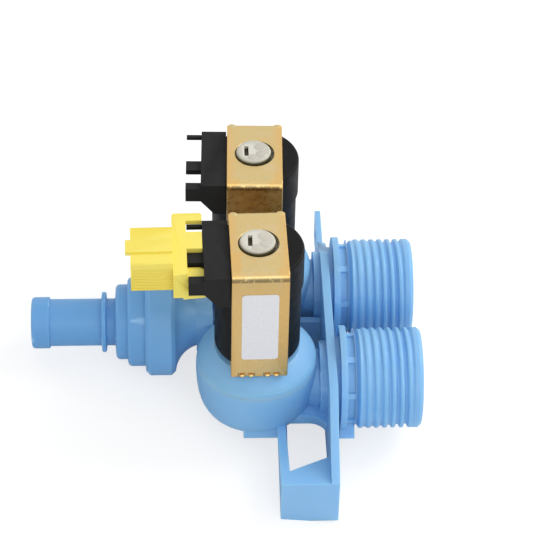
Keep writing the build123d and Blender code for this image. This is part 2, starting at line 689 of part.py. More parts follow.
with BuildPart() as plunger_seal:
    with Locations((0, 0, SEAL_Z)):
        Cylinder(SEAL_R, SEAL_T, align=stand)
write_pair("plunger_seal", plunger_seal, turned=True)

# Return spring between the plunger's socket and the closed end of the tube
with BuildPart() as plunger_spring:
    spring_height = SPRING_TOP_Z - SPRING_FOOT_Z - 2 * SPRING_WIRE_R
    with BuildLine(Plane.XY.offset(SPRING_FOOT_Z + SPRING_WIRE_R)) as spring_path:
        Helix(spring_height / SPRING_TURNS, spring_height, SPRING_R)
    with BuildSketch(Plane(origin=spring_path.line @ 0, z_dir=spring_path.line % 0)):
        Circle(SPRING_WIRE_R)
    sweep(is_frenet=True)
write_pair("plunger_spring", plunger_spring, turned=True)

# Rubber diaphragm: bead, convolution and the flat part over the nozzle
with BuildPart() as diaphragm:
    with BuildSketch(Plane.XZ) as diaphragm_profile:
        with BuildLine():
            Polyline(
                (INSERT_STEM_R, NOZZLE_SEAT_Z),
                (INSERT_R, NOZZLE_SEAT_Z),
                (BEAD_R - BEAD_W, RIM_BEAD_Z),
                (BEAD_R, RIM_BEAD_Z),
                (BEAD_R, CUP_RIM_Z),
                (BEAD_R - BEAD_W, CUP_RIM_Z),
                (BEAD_R - BEAD_W, RIM_BEAD_Z + MEMBRANE_T),
                (INSERT_R, MEMBRANE_TOP_Z),
                (INSERT_STEM_R, MEMBRANE_TOP_Z),
                close=True,
            )
        make_face()
    revolve(axis=Axis.Z)
write_pair("diaphragm", diaphragm)

# Stiff insert through the diaphragm, with the pilot hole down its middle and a bleed hole
with BuildPart() as diaphragm_insert:
    with BuildSketch(Plane.XZ):
        with BuildLine():
            Polyline(
                (PILOT_BORE_R, NOZZLE_SEAT_Z - INSERT_STEM_L),
                (INSERT_STEM_R, NOZZLE_SEAT_Z - INSERT_STEM_L),
                (INSERT_STEM_R, MEMBRANE_TOP_Z),
                (INSERT_R, MEMBRANE_TOP_Z),
                (INSERT_R, MEMBRANE_TOP_Z + INSERT_PLATE_T),
                (PILOT_TIP_R + PILOT_FLARE, MEMBRANE_TOP_Z + INSERT_PLATE_T),
                (PILOT_TIP_R, PILOT_TIP_Z),
                (PILOT_BORE_R, PILOT_TIP_Z),
                close=True,
            )
        make_face()
    revolve(axis=Axis.Z)
    with Locations((0, BLEED_OUT, MEMBRANE_TOP_Z)):
        Cylinder(BLEED_R, 4 * INSERT_PLATE_T, mode=Mode.SUBTRACT)
write_pair("diaphragm_insert", diaphragm_insert)

# Strap of the steel bracket: two legs and the top, bent from one strip
with BuildPart() as coil_bracket:
    with BuildSketch(Plane.YZ) as strap_profile:
        with BuildLine() as strap_line:
            FilletPolyline(
                (-BRACKET_D / 2, SEAT_Z),
                (-BRACKET_D / 2, SEAT_Z + BRACKET_H),
                (BRACKET_D / 2, SEAT_Z + BRACKET_H),
                (BRACKET_D / 2, SEAT_Z),
                radius=BRACKET_BEND_R,
            )
            offset(amount=-BRACKET_T, side=Side.RIGHT)
        make_face()
    extrude(amount=BRACKET_W / 2, both=True)
    with Locations((0, 0, SEAT_Z + BRACKET_H)):
        Cylinder(TIP_R + BRACKET_HOLE_GAP, 4 * BRACKET_T, mode=Mode.SUBTRACT)
    with Locations((0, 0, SEAT_Z)):
        with GridLocations(STAKE_PITCH, 0, 2, 1):
            Box(STAKE_W, BRACKET_D + 2, 2 * BRACKET_T, mode=Mode.SUBTRACT)
write_pair("coil_bracket", coil_bracket, turned=True)

# Base plate of the bracket, its tongues staked in the legs' notches
with BuildPart() as bracket_base:
    with BuildSketch(Plane.XY.offset(SEAT_Z)):
        Rectangle(BRACKET_W, BRACKET_D - 2 * BRACKET_T)
        with GridLocations(STAKE_PITCH, 0, 2, 1):
            Rectangle(STAKE_W, BRACKET_D + 2 * STAKE_RISE)
        Circle(GUIDE_R + RUNNING, mode=Mode.SUBTRACT)
    extrude(amount=BRACKET_T)
write_pair("bracket_base", bracket_base, turned=True)

# Flux sleeve pressed in the bobbin's upper end, against the bracket's top
with BuildPart() as flux_sleeve:
    with Locations((0, 0, COIL_TOP_Z)):
        Cylinder(SLEEVE_R, SLEEVE_L, align=hang)
        Cylinder(
            GUIDE_R + RUNNING, SLEEVE_L, align=hang, mode=Mode.SUBTRACT
        )
write_pair("flux_sleeve", flux_sleeve, turned=True)

# Bobbin and its winding, both inside the moulded coil
bobbin_base_z = COIL_BASE_Z + COIL_CAP
bobbin_top_z = COIL_TOP_Z - COIL_CAP
with BuildPart() as coil_bobbin:
    with BuildSketch(Plane.XZ):
        with BuildLine():
            Polyline(
                (GUIDE_R + RUNNING, bobbin_base_z),
                (BOBBIN_FLANGE_R, bobbin_base_z),
                (BOBBIN_FLANGE_R, bobbin_base_z + BOBBIN_FLANGE_T),
                (BOBBIN_R, bobbin_base_z + BOBBIN_FLANGE_T),
                (BOBBIN_R, bobbin_top_z - BOBBIN_FLANGE_T),
                (BOBBIN_FLANGE_R, bobbin_top_z - BOBBIN_FLANGE_T),
                (BOBBIN_FLANGE_R, bobbin_top_z),
                (SLEEVE_R, bobbin_top_z),
                (SLEEVE_R, COIL_TOP_Z - SLEEVE_L),
                (GUIDE_R + RUNNING, COIL_TOP_Z - SLEEVE_L),
                close=True,
            )
        make_face()
    revolve(axis=Axis.Z)
write_pair("coil_bobbin", coil_bobbin, turned=True)

with BuildPart() as copper_winding:
    winding_height = bobbin_top_z - bobbin_base_z - 2 * BOBBIN_FLANGE_T
    with Locations((0, 0, bobbin_base_z + BOBBIN_FLANGE_T)):
        Cylinder(WINDING_R, winding_height, align=stand)
        Cylinder(
            BOBBIN_R, winding_height, align=stand, mode=Mode.SUBTRACT
        )
write_pair("copper_winding", copper_winding, turned=True)

# Moulded coil body with the terminal header on its left side
with BuildPart() as coil_body:
    with Locations((0, 0, COIL_BASE_Z)):
        Cylinder(COIL_R, COIL_TOP_Z - COIL_BASE_Z, align=stand)
    with Locations((0, 0, COIL_TOP_Z)):
        Cylinder(COIL_HEAD_R, COIL_HEAD_H, align=hang)
    fillet(coil_body.edges().filter_by(GeomType.CIRCLE).group_by(Axis.Z)[-1], COIL_EDGE_R)
    fillet(coil_body.edges().filter_by(GeomType.CIRCLE).group_by(Axis.Z)[0], COIL_EDGE_R)
    with BuildSketch(Plane.YZ) as coil_flats:
        with Locations((0, (COIL_BASE_Z + COIL_TOP_Z) / 2)):
            Rectangle(BRACKET_D - 2 * BRACKET_T - 2 * BRACKET_FIT, COIL_TOP_Z - COIL_BASE_Z)
        chamfer(coil_flats.vertices().group_by(Axis.Y)[-1], BRACKET_BEND_R - BRACKET_T)
    extrude(amount=2 * COIL_R, both=True, mode=Mode.INTERSECT)

    # Header block with a sloping underside, then the comb of fingers
    header_start_x = -BRACKET_W / 2 - BRACKET_FIT
    with BuildSketch(Plane.XZ.offset(-HEADER_BACK_Y)) as header_profile:
        with BuildLine():
            Polyline(
                (header_start_x, COIL_TOP_Z),
                (-HEADER_REACH, COIL_TOP_Z),
                (-HEADER_REACH, COIL_TOP_Z - HEADER_H),
                (-HEADER_ROOT, COIL_TOP_Z - HEADER_H - HEADER_SLOPE_H),
                (header_start_x, COIL_TOP_Z - HEADER_H - HEADER_SLOPE_H),
                close=True,
            )
        make_face()
    extrude(amount=HEADER_W)
    finger_x = -HEADER_REACH - FINGER_L / 2
    with Locations((finger_x, HEADER_BACK_Y - BACK_FINGER_T / 2, FINGER_TOP_Z)):
        Box(FINGER_L, BACK_FINGER_T, FINGER_H, align=hang)
    with Locations((finger_x, MIDDLE_FINGER_Y, FINGER_TOP_Z)):
        Box(FINGER_L, SECOND_FINGER_W, FINGER_H, align=hang)
    with Locations((finger_x, HEADER_FRONT_Y + FRONT_FINGER_T / 2, FINGER_TOP_Z)):
        Box(FINGER_L, FRONT_FINGER_T, HEADER_H - FINGER_DROP, align=hang)

    # Room for the winding, the bobbin and the tube
    with Locations((0, 0, bobbin_base_z)):
        Cylinder(
            BOBBIN_FLANGE_R,
            bobbin_top_z - bobbin_base_z,
            align=stand,
            mode=Mode.SUBTRACT,
        )
    with Locations((0, 0, COIL_BASE_Z)):
        Cylinder(
            SLEEVE_R,
            COIL_TOP_Z - COIL_BASE_Z,
            align=stand,
            mode=Mode.SUBTRACT,
        )

    # A socket in the header's face at each gap of the comb, and the roots that hold the blades
    socket_x = -HEADER_REACH + SOCKET_DEPTH / 2
    with Locations(*[(socket_x, y, SOCKET_Z) for y in BLADE_Y.values()]):
        Box(SOCKET_DEPTH, SOCKET_W, SOCKET_H, mode=Mode.SUBTRACT)
    blade_back_x = -HEADER_REACH + SOCKET_DEPTH + BLADE_ROOT / 2
    with Locations(*[(blade_back_x, y, SOCKET_Z) for y in BLADE_Y.values()]):
        Box(BLADE_ROOT, BLADE_T, BLADE_H, mode=Mode.SUBTRACT)
write_pair("coil_body", coil_body, turned=True)

# Terminal blades, one solid and one node each
for blade, blade_y in BLADE_Y.items():
    with BuildPart() as terminal:
        blade_l = SOCKET_DEPTH + BLADE_ROOT - BLADE_SHY
        with Locations((-HEADER_REACH + BLADE_SHY + blade_l / 2, blade_y, SOCKET_Z)):
            Box(blade_l, BLADE_T, BLADE_H)
        chamfer(terminal.edges().filter_by(Axis.Z).group_by(Axis.X)[0], BLADE_TIP)
    write_pair(f"terminal_{blade}", terminal, turned=True)

# Plug left on the front coil: body, collar, latch, keys and the tongues in the sockets
with BuildPart() as plug:
    plug_z = HEADER_MID_Z + PLUG_RISE
    with Locations((-(PLUG_END + PLUG_BODY_START) / 2, HEADER_Y, plug_z)):
        Box(PLUG_END - PLUG_BODY_START, PLUG_W, PLUG_H)
    fillet(plug.edges().filter_by(Axis.X), PLUG_EDGE_R)
    collar_x = -(PLUG_BODY_START + COLLAR_END) / 2
    with Locations((collar_x, HEADER_Y, COIL_TOP_Z)):
        Box(PLUG_BODY_START - COLLAR_END, COLLAR_W, COLLAR_H, align=hang)
    # Latch arm behind the header, carried by a bar across the collar
    latch_inner_y = HEADER_BACK_Y + RUNNING
    with BuildSketch(Plane.XY.offset(COIL_TOP_Z)) as latch_plan:
        with Locations((-(PLUG_BODY_START + HEADER_REACH) / 2, latch_inner_y + LATCH_W / 2)):
            Rectangle(PLUG_BODY_START - HEADER_REACH, LATCH_W)
        fillet(latch_plan.vertices().group_by(Axis.Y)[-1], LATCH_EDGE_R)
        with Locations((collar_x, (latch_inner_y + LATCH_W / 2) / 2)):
            Rectangle(PLUG_BODY_START - COLLAR_END, latch_inner_y + LATCH_W / 2)
    extrude(amount=-LATCH_H)
    # Skirt under the header with a toe below the sloping underside
    skirt_top_z = COIL_TOP_Z - HEADER_H - RUNNING
    skirt_foot_z = COIL_TOP_Z - COLLAR_H - SKIRT_DROP
    skirt_end_x = -HEADER_REACH - RUNNING
    with Locations(((skirt_end_x - COLLAR_END) / 2, HEADER_Y, skirt_top_z)):
        Box(COLLAR_END + skirt_end_x, COLLAR_W, skirt_top_z - skirt_foot_z, align=hang)
    with Locations(((skirt_end_x - COLLAR_END) / 2, HEADER_Y, skirt_foot_z)):
        Box(COLLAR_END + skirt_end_x + 2 * SKIRT_TOE, COLLAR_W, SKIRT_TOE_H, align=stand)
    # Keys in the two gaps of the header's comb, over a block that stays below the fingers
    key_l = COLLAR_END - HEADER_REACH - RUNNING
    key_x = -COLLAR_END + key_l / 2
    key_foot_z = COIL_TOP_Z - HEADER_H + RUNNING
    with Locations((key_x, FIRST_KEY_Y, key_foot_z)):
        Box(key_l, FIRST_KEY_W - 2 * RUNNING, HEADER_H - RUNNING, align=stand)
    with BuildSketch(Plane.XY.offset(key_foot_z)) as second_key:
        with Locations((key_x, SECOND_GAP_Y)):
            Rectangle(key_l, SECOND_GAP_W - 2 * RUNNING)
        fillet(second_key.vertices().group_by(Axis.X)[-1], KEY_EDGE_R)
    extrude(amount=HEADER_H - FINGER_DROP - RUNNING)
    below_finger_z = FINGER_TOP_Z - FINGER_H - RUNNING
    with Locations((key_x, MIDDLE_FINGER_Y, key_foot_z)):
        Box(key_l, SECOND_FINGER_W + 4 * RUNNING, below_finger_z - key_foot_z, align=stand)
    # Tongue in each terminal socket, slotted round its blade
    tongue_l = COLLAR_END - HEADER_REACH + SOCKET_DEPTH - SEAL_GAP
    with Locations(*[(-COLLAR_END + tongue_l / 2, y, SOCKET_Z) for y in BLADE_Y.values()]):
        Box(tongue_l, SOCKET_W - 2 * RUNNING, SOCKET_H - 2 * RUNNING)
    with Locations(*[(-HEADER_REACH + SOCKET_DEPTH / 2, y, SOCKET_Z) for y in BLADE_Y.values()]):
        Box(
            SOCKET_DEPTH + 2 * FINGER_L,
            BLADE_T + 2 * RUNNING,
            BLADE_H + 2 * RUNNING,
            mode=Mode.SUBTRACT,
        )
    # Two wire holes in the outer end and the raised ridge on top
    with Locations((-PLUG_END, HEADER_Y, plug_z)):
        with GridLocations(0, WIRE_PITCH, 1, 2):
            Box(2 * WIRE_PORT_L, WIRE_PORT_D, WIRE_PORT_D, mode=Mode.SUBTRACT)
    ridge_l = PLUG_END + PLUG_RIDGE_OUT - PLUG_BODY_START
    with Locations((-PLUG_BODY_START - ridge_l / 2, HEADER_Y + PLUG_RIDGE_Y, plug_z + PLUG_H / 2)):
        Box(ridge_l, PLUG_RIDGE_W, 2 * PLUG_RIDGE_RISE)
front_place = Location((COIL_X, VALVE_Y["front"], 0), (0, 0, COIL_TURN["front"]))
plug_placed = plug.part.moved(front_place)
plug_placed.label = "connector_plug"
export_step(plug_placed, "parts/connector_plug.step")

# Inlet screen: a cup of moulded mesh with a rim on the shoulder of the bore
with BuildPart() as inlet_screen:
    with BuildSketch(Plane.YZ) as screen_rim:
        Circle(INLET_BORE_R - SNUG)
        Circle(SCREEN_R - SCREEN_RIM_T / 2, mode=Mode.SUBTRACT)
    extrude(amount=SCREEN_RIM_T)
    with BuildSketch(Plane.YZ):
        Circle(SCREEN_R)
        Circle(SCREEN_R - SCREEN_FLOOR_T, mode=Mode.SUBTRACT)
    extrude(amount=-SCREEN_L)
    with BuildSketch(Plane.YZ.offset(-SCREEN_L)) as screen_floor:
        Circle(SCREEN_R)
        with GridLocations(SCREEN_PITCH, SCREEN_PITCH, SCREEN_HOLES, SCREEN_HOLES):
            Rectangle(SCREEN_HOLE, SCREEN_HOLE, mode=Mode.SUBTRACT)
    extrude(amount=SCREEN_FLOOR_T)
for side, y in VALVE_Y.items():
    piece = inlet_screen.part.moved(Location((SCREEN_SHOULDER_X, y, 0)))
    piece.label = f"inlet_screen_{side}"
    export_step(piece, f"parts/inlet_screen_{side}.step")

# Flow washer and the ring that keeps it in the inner end of the bore
with BuildPart() as flow_washer:
    with BuildSketch(Plane.YZ.offset(DUCT_BORE_END_X)):
        Circle(DUCT_BORE_R - SNUG)
        Circle(WASHER_HOLE_R, mode=Mode.SUBTRACT)
    extrude(amount=WASHER_T)
with BuildPart() as washer_retainer:
    with BuildSketch(Plane.YZ.offset(DUCT_BORE_END_X + WASHER_T)):
        Circle(DUCT_BORE_R - SNUG)
        Circle(RETAINER_HOLE_R, mode=Mode.SUBTRACT)
    extrude(amount=RETAINER_T)
for side, y in VALVE_Y.items():
    for name, built in (("flow_washer", flow_washer), ("washer_retainer", washer_retainer)):
        piece = built.part.moved(Location((0, y, 0)))
        piece.label = f"{name}_{side}"
        export_step(piece, f"parts/{name}_{side}.step")

# Blank label on the front face of the front bracket
with BuildPart() as label:
    with BuildSketch(Plane.XZ.offset(BRACKET_D / 2)):
        with Locations((0, SEAT_Z + LABEL_LOW + LABEL_H / 2)):
            RectangleRounded(LABEL_W, LABEL_H, LABEL_CORNER_R)
    extrude(amount=LABEL_T)
label_placed = label.part.moved(front_place)
label_placed.label = "label"
export_step(label_placed, "parts/label.step")
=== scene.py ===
"""Looks of a washing machine inlet valve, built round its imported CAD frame."""

import json
import logging
import math
from collections.abc import Callable
from dataclasses import dataclass, field
from enum import Enum

import bmesh
import bpy
from mathutils import Matrix, Vector


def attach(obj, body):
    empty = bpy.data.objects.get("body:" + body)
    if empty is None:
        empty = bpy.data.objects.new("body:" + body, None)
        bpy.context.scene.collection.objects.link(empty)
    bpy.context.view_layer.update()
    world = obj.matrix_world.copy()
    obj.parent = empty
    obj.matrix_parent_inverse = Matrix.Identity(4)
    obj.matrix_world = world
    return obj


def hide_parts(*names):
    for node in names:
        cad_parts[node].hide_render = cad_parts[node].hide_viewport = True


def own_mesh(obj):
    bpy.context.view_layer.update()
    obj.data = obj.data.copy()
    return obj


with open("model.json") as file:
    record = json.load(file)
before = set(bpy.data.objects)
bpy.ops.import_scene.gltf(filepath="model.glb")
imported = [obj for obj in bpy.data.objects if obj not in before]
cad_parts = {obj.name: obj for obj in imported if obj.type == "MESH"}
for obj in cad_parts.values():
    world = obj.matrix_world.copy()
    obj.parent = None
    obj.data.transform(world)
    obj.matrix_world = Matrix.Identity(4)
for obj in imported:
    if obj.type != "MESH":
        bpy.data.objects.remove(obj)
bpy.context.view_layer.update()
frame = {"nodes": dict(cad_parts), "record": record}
MM = 0.001
Colour = tuple[float, float, float]
Point = tuple[float, float]
Corner = tuple[float, float, float]
VALVE_Y = {"front": -17.65, "rear": 17.65}
TURN = {"front": 1.0, "rear": -1.5}
COIL_X = -20.8
OUTLET_Z = 4.9
CUP_RIM_Z = 8.2
SEAT_Z = 13.9
STRAP_TOP_Z = 49.5
STRAP_DEPTH = 25.4
FAR_END_X = -0.081
HEADER_REACH = 14.2
PLUG_BODY_X = -22.0
TIP_Z = 50.4
log = logging.getLogger("inlet_valve")


class Body(Enum):
    """The body of the CAD frame that every dressed piece rides on."""

    VALVE = "valve"


class Slot(Enum):
    """The record's material slots."""

    BLUE = "blue_nylon"
    BLACK = "black_plastic"
    PLATED = "plated_steel"
    WHITE = "white_nylon"
    YELLOW = "yellow_plastic"
    LABEL = "label_paper"
    RUBBER = "black_rubber"
    STEEL = "plunger_steel"
    BOBBIN = "bobbin_plastic"
    COPPER = "copper_wire"
    BLADE = "tinned_blade"
    GREY = "grey_plastic"


class NodeBoard:
    """A short hand for wiring one material's nodes."""

    def __init__(self, name: str) -> None:
        """Start a material with an empty board.

        Args:
            name: The material's name.
        """
        self.material = bpy.data.materials.new(name)
        self.material.use_nodes = True
        self.tree = self.material.node_tree
        self.tree.nodes.clear()
        self.output = self.add("ShaderNodeOutputMaterial")
        self.place = self.add("ShaderNodeTexCoord").outputs["Object"]

    def add(self, kind: str, **settings: object) -> bpy.types.Node:
        """Add a node and set its properties.

        Args:
            kind: The node's type name.
            **settings: Properties of the node.

        Returns:
            The new node.
        """
        node = self.tree.nodes.new(kind)
        for key, value in settings.items():
            setattr(node, key, value)
        return node

    def link(self, start: bpy.types.NodeSocket, end: bpy.types.NodeSocket) -> None:
        """Join two sockets."""
        self.tree.links.new(start, end)

    def stretched(self, scale: tuple[float, float, float]) -> bpy.types.NodeSocket:
        """Object coordinates, stretched.

        Args:
            scale: How often the pattern repeats a metre along each axis, times the noise's scale.

        Returns:
            The vector socket.
        """
        mapping = self.add("ShaderNodeMapping")
        mapping.inputs["Scale"].default_value = scale
        self.link(self.place, mapping.inputs["Vector"])
        return mapping.outputs["Vector"]

    def noise(self, scale: float, detail: float = 3.0, vector: bpy.types.NodeSocket | None = None,
              distortion: float = 0.0) -> bpy.types.NodeSocket:
        """A noise pattern.

        Args:
            scale: Cycles a metre.
            detail: Number of finer layers.
            vector: Where the pattern is read, or None for plain object coordinates.
            distortion: How far the pattern is pulled about.

        Returns:
            The pattern's value socket.
        """
        node = self.add("ShaderNodeTexNoise")
        node.inputs["Scale"].default_value = scale
        node.inputs["Detail"].default_value = detail
        node.inputs["Distortion"].default_value = distortion
        self.link(vector or self.place, node.inputs["Vector"])
        return node.outputs["Fac"]

    def ramp(self, value: bpy.types.NodeSocket, stops: list[tuple[float, Colour]]) -> bpy.types.NodeSocket:
        """Colours laid along a value.

        Args:
            value: The value that picks the colour.
            stops: Places from 0 to 1 with their colours.

        Returns:
            The colour socket.
        """
        node = self.add("ShaderNodeValToRGB")
        elements = node.color_ramp.elements
        while len(elements) < len(stops):
            elements.new(0.5)
        for element, (place, colour) in zip(elements, stops):
            element.position = place
            element.color = (*colour, 1.0)
        self.link(value, node.inputs["Fac"])
        return node.outputs["Color"]

    def spread(self, value: bpy.types.NodeSocket, low: float, high: float, start: float = 0.3,
               end: float = 0.7) -> bpy.types.NodeSocket:
        """A value moved from one range to another.

        Args:
            value: The value to move.
            low: What the start becomes.
            high: What the end becomes.
            start: Low end of the value's own range.
            end: High end of the value's own range.

        Returns:
            The moved value's socket.
        """
        node = self.add("ShaderNodeMapRange")
        node.inputs["From Min"].default_value = start
        node.inputs["From Max"].default_value = end
        node.inputs["To Min"].default_value = low
        node.inputs["To Max"].default_value = high
        self.link(value, node.inputs["Value"])
        return node.outputs["Result"]

    def mix(self, share: bpy.types.NodeSocket, first: bpy.types.NodeSocket | Colour,
            second: bpy.types.NodeSocket | Colour) -> bpy.types.NodeSocket:
        """A blend of two colours.

        Args:
            share: How much of the second colour shows.
            first: Colour or colour socket.
            second: Colour or colour socket.

        Returns:
            The blended colour's socket.
        """
        node = self.add("ShaderNodeMix", data_type="RGBA")
        self.link(share, node.inputs[0])
        for socket, colour in ((node.inputs[6], first), (node.inputs[7], second)):
            if isinstance(colour, tuple):
                socket.default_value = (*colour, 1.0)
            else:
                self.link(colour, socket)
        return node.outputs[2]

    def band(self, axis: str, centre: float, full: float, none: float, outside: bool) -> bpy.types.NodeSocket:
        """A soft band across an object axis.

        Args:
            axis: The axis that the band is measured along.
            centre: Middle of the band, in metres.
            full: Distance from the middle where the fade starts.
            none: Distance from the middle where the fade ends.
            outside: True for 1 outside the band, False for 1 inside it.

        Returns:
            The band's value socket.
        """
        split = self.add("ShaderNodeSeparateXYZ")
        self.link(self.place, split.inputs["Vector"])
        away = self.add("ShaderNodeMath", operation="SUBTRACT")
        self.link(split.outputs[axis], away.inputs[0])
        away.inputs[1].default_value = centre
        size = self.add("ShaderNodeMath", operation="ABSOLUTE")
        self.link(away.outputs[0], size.inputs[0])
        low, high = (0.0, 1.0) if outside else (1.0, 0.0)
        return self.spread(size.outputs[0], low, high, full, none)

    def product(self, first: bpy.types.NodeSocket,
                second: bpy.types.NodeSocket | float) -> bpy.types.NodeSocket:
        """Two values multiplied.

        Args:
            first: A value socket.
            second: A value socket or a number.

        Returns:
            The product's socket.
        """
        node = self.add("ShaderNodeMath", operation="MULTIPLY")
        self.link(first, node.inputs[0])
        if isinstance(second, float):
            node.inputs[1].default_value = second
        else:
            self.link(second, node.inputs[1])
        return node.outputs[0]

    def edges(self, start: float = 0.52, end: float = 0.6) -> bpy.types.NodeSocket:
        """How sharply the surface bulges, from 0 on flats to 1 on outer edges."""
        point = self.add("ShaderNodeNewGeometry").outputs["Pointiness"]
        return self.spread(point, 0.0, 1.0, start, end)

    def bumps(self, layers: list[tuple[bpy.types.NodeSocket, float]]) -> bpy.types.NodeSocket:
        """Stack bump layers.

        Args:
            layers: Height sockets with their depth in metres.

        Returns:
            The normal socket.
        """
        normal = None
        for height, depth in layers:
            node = self.add("ShaderNodeBump")
            node.inputs["Strength"].default_value = 1.0
            node.inputs["Distance"].default_value = depth
            self.link(height, node.inputs["Height"])
            if normal is not None:
                self.link(normal, node.inputs["Normal"])
            normal = node.outputs["Normal"]
        return normal

    def shader(self, **values: object) -> bpy.types.Node:
        """The main shader, joined to the output.

        Args:
            **values: Socket names with underscores for blanks, and what they are set to.

        Returns:
            The shader node.
        """
        node = self.add("ShaderNodeBsdfPrincipled")
        for key, value in values.items():
            socket = node.inputs[key.replace("_", " ")]
            if isinstance(value, bpy.types.NodeSocket):
                self.link(value, socket)
            else:
                socket.default_value = value
        self.link(node.outputs["BSDF"], self.output.inputs["Surface"])
        return node


@dataclass(frozen=True)
class MouldedPlastic:
    """A moulded plastic: two close tones, a fine spark-eroded grain and paler convex edges, which are a
    painted highlight.
    """

    name: str
    tone: Colour
    deep: Colour
    # edge: the paler colour that convex edges take, a painted highlight
    edge: Colour
    roughness: float = 0.4
    grain: float = 0.00002
    glow: float = 0.0
    glow_depth: float = 0.0015
    shine: float = 0.5
    patch: Colour | None = None
    patch_band: tuple[str, float, float, float, bool] = ("X", 0.0, 1.0, 2.0, False)

    def make(self) -> bpy.types.Material:
        """Build the material."""
        board = NodeBoard(self.name)
        cloud = board.ramp(board.noise(55, 4.0, distortion=0.6), [(0.32, self.deep), (0.68, self.tone)])
        if self.patch:
            cloud = board.mix(board.band(*self.patch_band), cloud, self.patch)
        # Painted highlight: convex edges are turned towards the paler edge colour.
        colour = board.mix(board.edges(), cloud, self.edge)
        gloss = board.spread(board.noise(420, 3.0), self.roughness - 0.07, self.roughness + 0.07)
        grain = board.bumps([(board.noise(2600, 2.0), self.grain), (board.noise(160, 2.0), self.grain * 3)])
        board.shader(
            Base_Color=colour, Roughness=gloss, Normal=grain, IOR=1.5, Subsurface_Weight=self.glow,
            Subsurface_Radius=(0.5, 0.8, 1.0), Subsurface_Scale=self.glow_depth,
            Specular_IOR_Level=self.shine,
        )
        return board.material


@dataclass(frozen=True)
class PlatedSteel:
    """Sheet steel with a yellow chromate film: straw, peach and greenish patches over fine rolling lines."""

    name: str = "yellow_chromate_steel"
    straw: Colour = (0.57, 0.57, 0.33)
    peach: Colour = (0.70, 0.49, 0.21)
    lime: Colour = (0.55, 0.60, 0.36)
    bare: Colour = (0.60, 0.62, 0.45)
    rim: Colour = (0.74, 0.47, 0.17)
    lower: Colour = (0.86, 0.63, 0.295)
    roughness: float = 0.32
    bend_z: float = 0.0481

    def make(self) -> bpy.types.Material:
        """Build the material."""
        board = NodeBoard(self.name)
        patches = board.noise(90, 4.0, distortion=1.4)
        film = board.ramp(
            patches, [(0.36, self.bare), (0.47, self.straw), (0.56, self.lime), (0.68, self.peach)],
        )
        film = board.mix(board.band("X", COIL_X * MM, 0.0046, 0.0078, True), film, self.rim)
        low = board.product(board.band("Z", STRAP_TOP_Z * MM, 0.0012, 0.009, True), 0.75)
        film = board.mix(low, film, self.lower)
        colour = board.mix(board.edges(0.5, 0.57), film, self.rim)
        marks = board.spread(board.noise(1.0, 1.0, board.stretched((1500, 60, 900))), 0.0, 1.0, 0.32, 0.46)
        creased = board.product(board.band("Z", self.bend_z, 0.0004, 0.0008, False), marks)
        colour = board.mix(board.product(creased, 0.75), colour, (0.16, 0.13, 0.07))
        lines = board.noise(1.0, 2.0, board.stretched((5200, 130, 130)))
        scuffs = board.noise(700, 4.0)
        gloss = board.spread(scuffs, self.roughness - 0.08, self.roughness + 0.1)
        normal = board.bumps([(lines, 0.000006), (board.noise(240, 2.0), 0.00002)])
        board.shader(Base_Color=colour, Roughness=gloss, Normal=normal, Metallic=1.0)
        return board.material


@dataclass(frozen=True)
class TurnedMetal:
    """Plain drawn or turned metal with faint lines and duller scuffs."""

    name: str
    colour: Colour
    dull: Colour
    roughness: float = 0.3

    def make(self) -> bpy.types.Material:
        """Build the material."""
        board = NodeBoard(self.name)
        colour = board.ramp(board.noise(300, 4.0), [(0.35, self.dull), (0.65, self.colour)])
        lines = board.noise(1.0, 2.0, board.stretched((90, 90, 4000)))
        gloss = board.spread(board.noise(900, 3.0), self.roughness - 0.08, self.roughness + 0.1)
        board.shader(Base_Color=colour, Roughness=gloss, Normal=board.bumps([(lines, 0.00001)]), Metallic=1.0)
        return board.material


@dataclass(frozen=True)
class CoatedPaper:
    """A blank adhesive label: coated paper with faint fibres and a slight cockle."""

    name: str = "label_paper"
    face: Colour = (0.80, 0.81, 0.84)
    fibre: Colour = (0.76, 0.77, 0.81)

    def make(self) -> bpy.types.Material:
        """Build the material."""
        board = NodeBoard(self.name)
        colour = board.ramp(board.noise(1500, 5.0), [(0.35, self.fibre), (0.6, self.face)])
        gloss = board.spread(board.noise(500, 2.0), 0.32, 0.45)
        normal = board.bumps([(board.noise(120, 2.0), 0.00006)])
        board.shader(Base_Color=colour, Roughness=gloss, Normal=normal)
        return board.material


